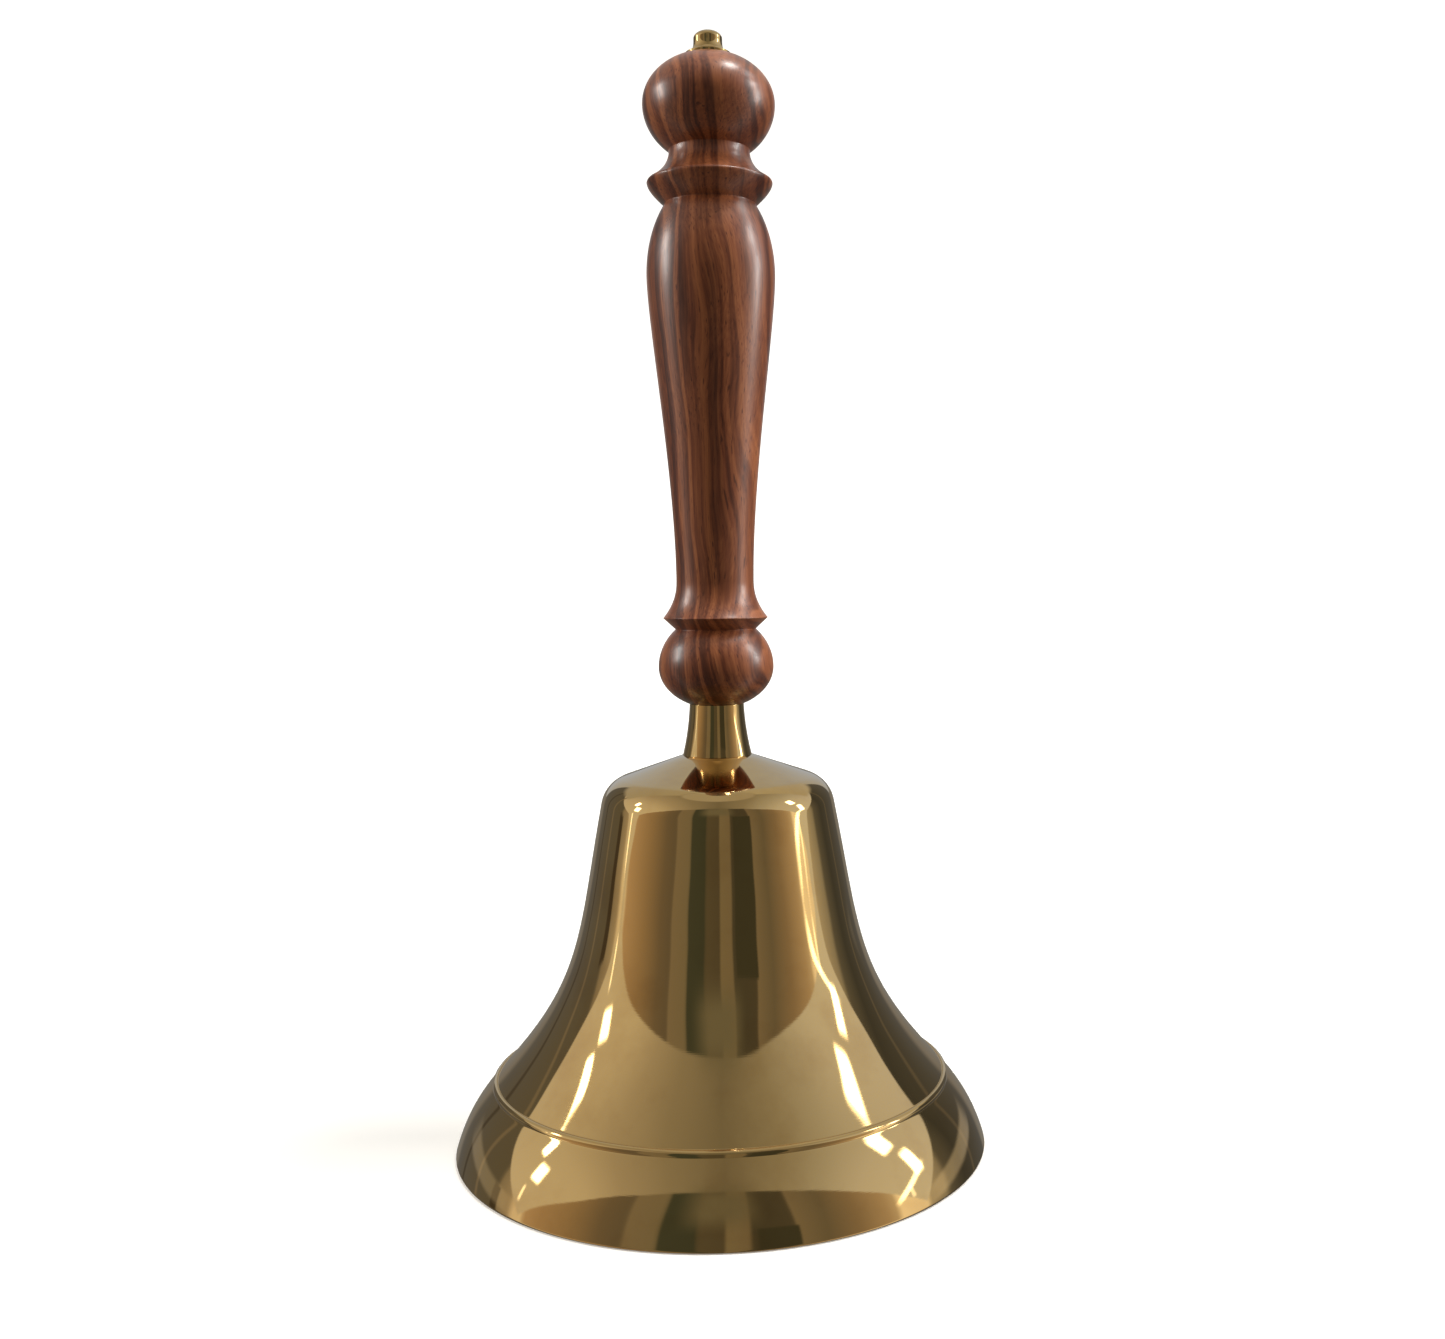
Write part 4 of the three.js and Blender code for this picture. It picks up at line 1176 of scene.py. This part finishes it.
class HANDBELL_OT_hanger(bpy.types.Operator):
    """Makes the slotted fork, its headed pin and the split pin"""

    bl_idname = "hand_bell.hanger"
    bl_label = "Fit the fork and pins"

    def execute(self, context):
        f = context.scene.hand_bell_fittings
        steel = finish_named(context, "zinc_plated_steel")
        radius, top, cheek = FORK_HIGH.x, FORK_HIGH.z, CHEEK_ROUND
        boss = top - FORK_BOSS
        half_width = CHEEK_FACE
        slot, slot_top = (f.eye_thickness + EYE_GAP) / 2, PIVOT.z + f.eye + EYE_GAP
        far = 2 * radius
        outline = [
            at(far, top + MM), at(-far, top + MM), at(-far, boss), at(-cheek, boss),
            *arc(at(0, PIVOT.z), cheek, math.pi, 2 * math.pi, 41),
            at(cheek, boss), at(far, boss),
        ]
        fork = carve("steel_clapper_fork", round_bar(radius, FORK_LOW.z - MM, top, f.facets), [
            ("INTERSECT", plate(outline, 2 * far)),
            ("DIFFERENCE", block((-far, -slot, 0), (far, slot, slot_top))),
            ("DIFFERENCE", block((-far, half_width, 0), (far, far, boss))),
            ("DIFFERENCE", block((-far, -far, 0), (far, -half_width, boss))),
            ("DIFFERENCE", round_bar(f.pin + CLOSE_FIT, -far, far, BORE_FACETS, "Y")),
            ("DIFFERENCE", round_bar(f.thread_hole, top - FORK_THREAD, top + MM, BORE_FACETS)),
        ])
        place_piece(deburred(fork, FORK_EDGE, steel), BODY, "steel", "clapper_fork")
        end, station, head = half_width + PIN_TAIL, half_width + PIN_TAIL / 2, PIN_HEAD
        pin = turned(
            "pin_blank",
            [at(0, -half_width - head), at(f.pin_head, -half_width - head), at(f.pin_head, -half_width),
             at(f.pin, -half_width), at(f.pin, end), at(0, end)],
            steel, f.facets, TURNED_STEEL_EDGE,
        )
        pin.data.transform(ON_THE_PIN)
        hole = round_bar(SPLIT_PIN_HOLE, PIVOT.z - 2 * f.pin, PIVOT.z + 2 * f.pin, ROD_FACETS)
        hole.data.transform(Matrix.Translation((0, station, 0)))
        pin = carve("steel_clapper_pin", pin, [("DIFFERENCE", hole)])
        place_piece(deburred(pin, CARVED_STEEL_EDGE, steel), BODY, "steel", "clapper_pin")
        leg, eye = f.wire + CLOSE_FIT / 2, SPLIT_PIN_EYE
        eye_height = f.pin + CLOSE_FIT + 2 * eye
        side = [
            (SPLIT_PIN_SPREAD, -SPLIT_PIN_LEG), (leg, -f.pin - 2 * f.wire), (leg, 0), (leg, f.pin),
            (eye, eye_height - eye / 2),
        ]
        path = [(-x, z) for x, z in side] + [(0, eye_height + eye / 2)] + side[::-1]
        curve = bpy.data.curves.new("split_pin_wire", "CURVE")
        curve.dimensions, curve.use_fill_caps = "3D", True
        curve.bevel_depth, curve.bevel_resolution, curve.resolution_u = f.wire, 4, 12
        spline = curve.splines.new("BEZIER")
        spline.bezier_points.add(len(path) - 1)
        for point, (x, z) in zip(spline.bezier_points, path):
            point.co = (x, station, PIVOT.z + z)
            point.handle_left_type = point.handle_right_type = "AUTO"
        wire = bpy.data.objects.new("split_pin_wire", curve)
        context.scene.collection.objects.link(wire)
        split_pin = welded(evaluated(wire, "steel_split_pin"))
        split_pin.data.materials.clear()
        split_pin.data.materials.append(steel)
        split_pin.data.shade_smooth()
        place_piece(split_pin, BODY, "steel", "split_pin")
        return {"FINISHED"}


class HANDBELL_OT_clapper(bpy.types.Operator):
    """Makes the clapper: the eyed shank, the turned ball and its nut"""

    bl_idname = "hand_bell.clapper"
    bl_label = "Hang the clapper"

    def execute(self, context):
        f = context.scene.hand_bell_fittings
        steel = finish_named(context, "zinc_plated_steel")
        brass = finish_named(context, "lathe_turned_brass")
        ball_top, ball_low, tail_end = BALL_HIGH.z, BALL_LOW.z, SHANK_LOW.z
        bar_top = PIVOT.z - SHANK_NECK
        collar_top = ball_top + COLLAR_HEIGHT
        bar = turned(
            "shank_bar",
            [at(0, tail_end), at(f.tail, tail_end), at(f.tail, ball_top), at(f.collar, ball_top),
             at(f.collar, collar_top), at(f.shank, collar_top), at(f.shank, bar_top), at(0, bar_top)],
            steel, BORE_FACETS, TURNED_STEEL_EDGE,
        )
        neck = ellipse_height(f.shank, f.shank, f.eye_thickness / 2) - 0.05 * MM
        meet = math.asin(neck / f.eye)
        eye = plate(
            [*arc(at(0, PIVOT.z), f.eye, meet - math.pi / 2, 1.5 * math.pi - meet, 56),
             at(-neck, bar_top - f.shank), at(neck, bar_top - f.shank)],
            f.eye_thickness,
        )
        bore = round_bar(f.eye_bore, -f.eye, f.eye, BORE_FACETS, "Y")
        shank = carve("steel_clapper_shank", bar, [("UNION", eye), ("DIFFERENCE", bore)])
        place_piece(deburred(shank, SHANK_EDGE, steel), CLAPPER, "steel", "clapper_shank")
        centre, radius = (ball_top + ball_low) / 2, BALL_HIGH.x
        flat = math.asin((ball_top - centre) / radius)
        hole = f.tail + CLOSE_FIT
        ball = turned(
            "brass_clapper_ball",
            [*arc(at(0, centre), radius, -flat, flat, 60), at(hole, ball_top), at(hole, ball_low)],
            brass, f.facets, BALL_EDGE,
        )
        place_piece(ball, CLAPPER, "turned_brass", "clapper_ball")
        low, high, wide = CLAPPER_NUT_LOW.z, CLAPPER_NUT_HIGH.z, CLAPPER_NUT_HIGH.x
        nut = turned(
            "brass_clapper_nut",
            [at(0, low), *ellipse_arc(low + MM, wide, MM, -math.pi / 2, 0, 12)[1:], at(wide, high),
             at(hole, high), at(hole, low + MM), at(0, low + MM)],
            brass, f.facets, BALL_NUT_EDGE,
        )
        place_piece(nut, CLAPPER, "turned_brass", "clapper_nut")
        return {"FINISHED"}


# The stage


def disc(name, rings, facets, finish):
    """A surface of rings round the axis, each (radius, height), that faces up and inwards."""
    made = bmesh.new()
    angles = [2 * math.pi * i / facets for i in range(facets)]
    loops = [
        [made.verts.new((radius * math.cos(a), radius * math.sin(a), height)) for a in angles]
        for radius, height in rings
    ]
    for inner, outer in zip(loops, loops[1:]):
        for i in range(facets):
            j = (i + 1) % facets
            made.faces.new((inner[i], outer[i], outer[j], inner[j]))
    obj = loose_object(name, made)
    obj.data.materials.append(finish)
    obj.data.shade_smooth()
    return obj


def soften(light, fade):
    """Lets a lamp fade to its rim, over a share of its half width and half height."""
    light.use_nodes = True
    tree = light.node_tree
    tree.nodes.clear()
    spot = add_node(
        tree, "ShaderNodeSeparateXYZ", {0: add_node(tree, "ShaderNodeNewGeometry").outputs["Parametric"]}
    )
    glow = 1.0
    for across in (spot.outputs["X"], spot.outputs["Y"]):
        aside = add_node(tree, "ShaderNodeMath", {0: across, 1: 0.5}, operation="SUBTRACT").outputs[0]
        distance = add_node(tree, "ShaderNodeMath", {0: aside}, operation="ABSOLUTE").outputs[0]
        inward = add_node(
            tree, "ShaderNodeMapRange", {"Value": distance, "From Min": 0.5, "From Max": 0.5 - fade / 2},
            interpolation_type="SMOOTHERSTEP",
        ).outputs["Result"]
        glow = add_node(tree, "ShaderNodeMath", {0: glow, 1: inward}, operation="MULTIPLY").outputs[0]
    shine = add_node(tree, "ShaderNodeEmission", {"Strength": glow})
    add_node(tree, "ShaderNodeOutputLight", {"Surface": shine.outputs[0]})


def area_light(name, shape, place, size, power, tint, lean=0):
    """A lamp that faces the middle of the mouth. Its size is metres across and metres high."""
    light = bpy.data.lights.new(name, "AREA")
    light.shape, light.size, light.size_y = shape, *size
    light.energy, light.color = power, tint
    obj = bpy.data.objects.new(name, light)
    obj.location = place
    obj.rotation_mode = "QUATERNION"
    facing = (-Vector(place)).to_track_quat("-Z", "Y")
    obj.rotation_quaternion = facing @ Quaternion((0, 0, 1), math.radians(lean))
    obj.visible_camera = False
    bpy.context.scene.collection.objects.link(obj)
    return obj


# What polished brass mirrors at eye level, by the angle round from the front: panels with gaps between them.
WALLS = [
    (-180, "#5c5c5a"), (-106, "#605f5c"), (-104, "#8a857d"), (-96, "#a19b92"), (-93, "#e4ded4"),
    (-88.5, "#e4ded4"), (-86.5, "#b8a490"), (-66, "#968674"), (-50, "#706860"), (-41, "#66615c"),
    (-39.5, "#807a72"), (-27, "#7a766e"), (-25.5, "#444a46"), (-12, "#414743"), (-11, "#5a5750"),
    (0, "#55524c"), (1, "#7c776c"), (10, "#79736a"), (11, "#4b4b47"), (28, "#4e4c48"),
    (29.5, "#7c766e"), (42, "#6c6862"), (56, "#8a7e72"), (70, "#b0a294"), (75, "#c4baae"),
    (77, "#fff8f0"), (90, "#f6f0e8"), (92, "#b0aeaa"), (103, "#908f8c"), (106, "#5e5f5f"),
    (118, "#424445"), (180, "#686866"),
]
# The ceiling over them, by how far to the right it lies: dim over the middle, bright and cool at the right.
CEILING = [
    (-1.0, "#cfcdc9"), (-0.8, "#c4c1bc"), (-0.6, "#a9a5a0"), (-0.35, "#908d87"), (0.0, "#7a7873"),
    (0.35, "#94938f"), (0.6, "#aeb1b6"), (0.8, "#c6cad4"), (1.0, "#d2d6de"),
]
CEILING_RISE = 0.96
# Cards and gaps before both: from and to round, from and to up, and softness, in degrees, and a colour.
CARDS = [
    (-190, -150, -60, 3, 6, "#7c7870"),
    (150, 190, -60, 3, 6, "#7c7870"),
    (-108, -103, -60, 4, 1.5, "#45403a"),
    (-122, -120, -60, 66, 1.5, "#77726a"),
    (-137, -135, -60, 66, 1.5, "#4a4742"),
    (128, 130, -60, 66, 1.5, "#5f5d58"),
    (13, 30, -60, 17, 1.5, "#40423d"),
    (-16, 12, 22, 45, 16, "#70706a"),
    (-190, 190, 70, 90, 3, "#a8a7a4"),
    (-190, -153, 3, 90, 2, "#adb1b4"),
    (153, 190, 3, 90, 2, "#adb1b4"),
    (-158, -116, 30, 70, 6, "#a9a8a2"),
    (116, 158, 30, 70, 6, "#b4b3ab"),
]
# What lights the wood and the floor from the sides: place, width and height in metres, share of the power.
WOOD_LIGHTS = {
    "left_low_light": ((-1.2, -0.06, 0.5), (0.14, 0.25), 0.75),
    "left_high_light": ((-1.19, 0.09, 0.77), (0.1, 0.22), 0.85),
    "right_low_light": ((1.2, 0.01, 0.44), (0.12, 0.34), 0.95),
    "right_high_light": ((1.2, -0.076, 0.88), (0.18, 0.3), 1.2),
    "right_top_light": ((1.11, 0.133, 1.45), (0.35, 0.3), 0.6),
    "right_over_light": ((0.56, -0.04, 1.66), (0.25, 0.25), 2.4),
}
# The streaks that brass mirrors: place, width and height, lean in degrees, share of the power.
# They are dimmer than the lights of the wood, so that they don't burn out to their rims.
STREAKS = {
    "left_low_streak": ((-1.2, -0.06, 0.5), (0.175, 0.275), 0, 0.24),
    "left_high_streak": ((-1.19, 0.09, 0.77), (0.125, 0.242), 0, 0.24),
    "left_line": ((-1.2, 0, 0.2), (0.037, 0.22), 0, 0.008),
    "left_floor_card": ((-0.3, 0.1, 0.008), (0.325, 0.055), 0, 0.0016),
    "right_low_streak": ((1.2, 0.01, 0.44), (0.15, 0.374), 0, 0.33),
    "right_high_streak": ((1.2, -0.076, 0.88), (0.225, 0.33), 0, 0.42),
    "right_foot_streak": ((1.19, -0.125, 0.255), (0.57, 0.075), 27, 0.09),
    "right_line": ((1.2, -0.155, 0.185), (0.05, 0.165), 0, 0.0058),
    "right_floor_card": ((0.3, 0.1, 0.008), (0.35, 0.055), 0, 0.003),
}
# How much of its half width and half height a streak takes to fade.
FADE = 0.6


def make_room(strength):
    """Light from all round: walls at eye level, a ceiling over them, and cards before both."""
    world = bpy.data.worlds.new("studio")
    bpy.context.scene.world = world
    world.use_nodes = True
    tree = world.node_tree
    tree.nodes.clear()
    way = add_node(
        tree, "ShaderNodeSeparateXYZ", {0: add_node(tree, "ShaderNodeTexCoord").outputs["Generated"]}
    )
    front = add_node(tree, "ShaderNodeMath", {0: way.outputs["Y"], 1: -1.0}, operation="MULTIPLY").outputs[0]
    radians_round = add_node(
        tree, "ShaderNodeMath", {0: way.outputs["X"], 1: front}, operation="ARCTAN2"
    ).outputs[0]
    radians_up = add_node(tree, "ShaderNodeMath", {0: way.outputs["Z"]}, operation="ARCSINE").outputs[0]
    around = add_node(tree, "ShaderNodeMath", {0: radians_round}, operation="DEGREES").outputs[0]
    upward = add_node(tree, "ShaderNodeMath", {0: radians_up}, operation="DEGREES").outputs[0]
    share = add_node(
        tree, "ShaderNodeMapRange", {"Value": around, "From Min": -180, "From Max": 180}
    ).outputs["Result"]
    aside = add_node(
        tree, "ShaderNodeMapRange", {"Value": way.outputs["X"], "From Min": -1, "From Max": 1}
    ).outputs["Result"]
    wall_stops = [(angle / 360 + 0.5, code) for angle, code in WALLS]
    ceiling_stops = [(place / 2 + 0.5, code) for place, code in CEILING]
    ramps = []
    for value, stops in ((share, wall_stops), (aside, ceiling_stops)):
        ramp = add_node(tree, "ShaderNodeValToRGB", {"Fac": value})
        for position, code in stops[2:]:
            ramp.color_ramp.elements.new(position)
        for element, (position, code) in zip(ramp.color_ramp.elements, stops):
            element.position, element.color = position, rgba(linear(code))
        ramps.append(ramp.outputs["Color"])
    # The front and back walls end where their height over their distance passes CEILING_RISE.
    away = add_node(tree, "ShaderNodeMath", {0: way.outputs["Y"]}, operation="ABSOLUTE").outputs[0]
    wall_top = add_node(tree, "ShaderNodeMath", {0: away, 1: CEILING_RISE}, operation="MULTIPLY").outputs[0]
    over_wall = add_node(
        tree, "ShaderNodeMath", {0: way.outputs["Z"], 1: wall_top}, operation="SUBTRACT"
    ).outputs[0]
    overhead = add_node(
        tree, "ShaderNodeMapRange", {"Value": over_wall, "From Min": -0.01, "From Max": 0.015},
        interpolation_type="SMOOTHSTEP",
    ).outputs["Result"]
    room = add_node(
        tree, "ShaderNodeMix", {"Factor": overhead, 6: ramps[0], 7: ramps[1]}, data_type="RGBA"
    ).outputs[2]
    for left, right, low, high, soft, code in CARDS:
        cover = 1.0
        rims = ((around, left, 1), (around, right, -1), (upward, low, 1), (upward, high, -1))
        for value, edge, side in rims:
            inside = add_node(
                tree, "ShaderNodeMapRange",
                {"Value": value, "From Min": edge - soft * side / 2, "From Max": edge + soft * side / 2},
                interpolation_type="SMOOTHSTEP",
            ).outputs["Result"]
            cover = add_node(tree, "ShaderNodeMath", {0: cover, 1: inside}, operation="MULTIPLY").outputs[0]
        room = add_node(
            tree, "ShaderNodeMix", {"Factor": cover, 6: room, 7: rgba(linear(code))}, data_type="RGBA"
        ).outputs[2]
    light = add_node(tree, "ShaderNodeBackground", {"Color": room, "Strength": strength})
    add_node(tree, "ShaderNodeOutputWorld", {"Surface": light.outputs[0]})


class HANDBELL_OT_stage(bpy.types.Operator):
    """Lays the floor and backdrop, and sets the lights and the camera"""

    bl_idname = "hand_bell.stage"
    bl_label = "Set the stage"

    def execute(self, context):
        s = context.scene.hand_bell_stage
        sheet = finish_named(context, "opal_acrylic_sheet")
        # The floor is open under the mouth, so that light and eye reach the inside from below.
        near, sweep, wall = 1.2, 0.9, 2.6
        turns = [math.pi / 2 * i / 14 for i in range(15)]
        curve = [(near + sweep * math.sin(a), sweep * (1 - math.cos(a))) for a in turns]
        rings = [(BELL_HIGH.x * 0.9, 0), (0.3, 0), *curve, (near + sweep, wall)]
        floor = disc("floor_and_backdrop", rings, 96, sheet)
        # Brass and lacquer mirror the room alone, so that the white sheet doesn't wash them out.
        floor.visible_glossy = floor.visible_diffuse = False
        make_room(s.room)
        warm = (1, 0.98, 0.94)
        matt = bpy.data.collections.new("wood_and_floor")
        context.scene.collection.children.link(matt)
        for obj in (floor, bpy.data.objects["rosewood_handle"]):
            matt.objects.link(obj)
        for name, (place, size, share) in WOOD_LIGHTS.items():
            lamp = area_light(name, "RECTANGLE", place, size, s.strip_power * share, warm)
            lamp.light_linking.receiver_collection = matt
        for name, (place, size, lean, share) in STREAKS.items():
            streak = area_light(name, "RECTANGLE", place, size, s.strip_power * share, warm, lean)
            soften(streak.data, FADE)
        overhead = area_light("overhead", "DISK", (0, 0, 1.6), (1.5, 1.5), s.top_power, (1, 0.99, 0.97))
        overhead.visible_glossy = False
        camera = bpy.data.cameras.new("photo_camera")
        camera.sensor_width, camera.lens, camera.shift_x = 36, s.focal_length, s.shift
        camera.clip_start, camera.clip_end = 0.01, 20
        obj = bpy.data.objects.new("photo_camera", camera)
        context.scene.collection.objects.link(obj)
        turn, pitch, roll = -s.camera_turn, s.camera_pitch, s.camera_roll
        right = Vector((math.cos(turn), math.sin(turn), 0))
        ahead = Vector((-math.sin(turn), math.cos(turn), 0))
        sight = ahead * math.cos(pitch) - Vector((0, 0, math.sin(pitch)))
        up = ahead * math.sin(pitch) + Vector((0, 0, math.cos(pitch)))
        leaned_right = right * math.cos(roll) + up * math.sin(roll)
        leaned_up = up * math.cos(roll) - right * math.sin(roll)
        turned_to = Matrix((leaned_right, leaned_up, -sight)).transposed().to_4x4()
        obj.matrix_world = Matrix.Translation((0, -s.camera_back, s.camera_height)) @ turned_to
        context.scene.camera = obj
        context.scene.view_settings.view_transform = "Standard"
        return {"FINISHED"}


# Panel and registration

STEPS = (
    HANDBELL_OT_bell, HANDBELL_OT_ferrule, HANDBELL_OT_handle, HANDBELL_OT_finial, HANDBELL_OT_clamp,
    HANDBELL_OT_hanger, HANDBELL_OT_clapper, HANDBELL_OT_stage,
)


class HANDBELL_PT_panel(bpy.types.Panel):
    """Lists the steps that make the bell"""

    bl_idname = "HANDBELL_PT_panel"
    bl_label = "Hand bell"
    bl_space_type = "VIEW_3D"
    bl_region_type = "UI"
    bl_category = "Hand bell"

    def draw(self, context):
        for step in STEPS:
            self.layout.operator(step.bl_idname)
        for group in (
            context.scene.hand_bell_sizes, context.scene.hand_bell_handle, context.scene.hand_bell_fittings,
            context.scene.hand_bell_finishes, context.scene.hand_bell_stage,
        ):
            box = self.layout.box()
            for key in group.bl_rna.properties.keys():
                if key not in ("rna_type", "name"):
                    box.prop(group, key)


GROUPS = {
    "hand_bell_sizes": BellSizes,
    "hand_bell_handle": HandleSizes,
    "hand_bell_fittings": FittingSizes,
    "hand_bell_finishes": Finishes,
    "hand_bell_stage": StageSettings,
}


def register():
    for cls in (*GROUPS.values(), *STEPS, HANDBELL_PT_panel):
        bpy.utils.register_class(cls)
    for name, group in GROUPS.items():
        setattr(bpy.types.Scene, name, PointerProperty(type=group))


def unregister():
    for name in GROUPS:
        delattr(bpy.types.Scene, name)
    for cls in reversed((*GROUPS.values(), *STEPS, HANDBELL_PT_panel)):
        bpy.utils.unregister_class(cls)


def main():
    register()
    for step in STEPS:
        group, name = step.bl_idname.split(".")
        getattr(getattr(bpy.ops, group), name)()


if __name__ == "__main__":
    main()
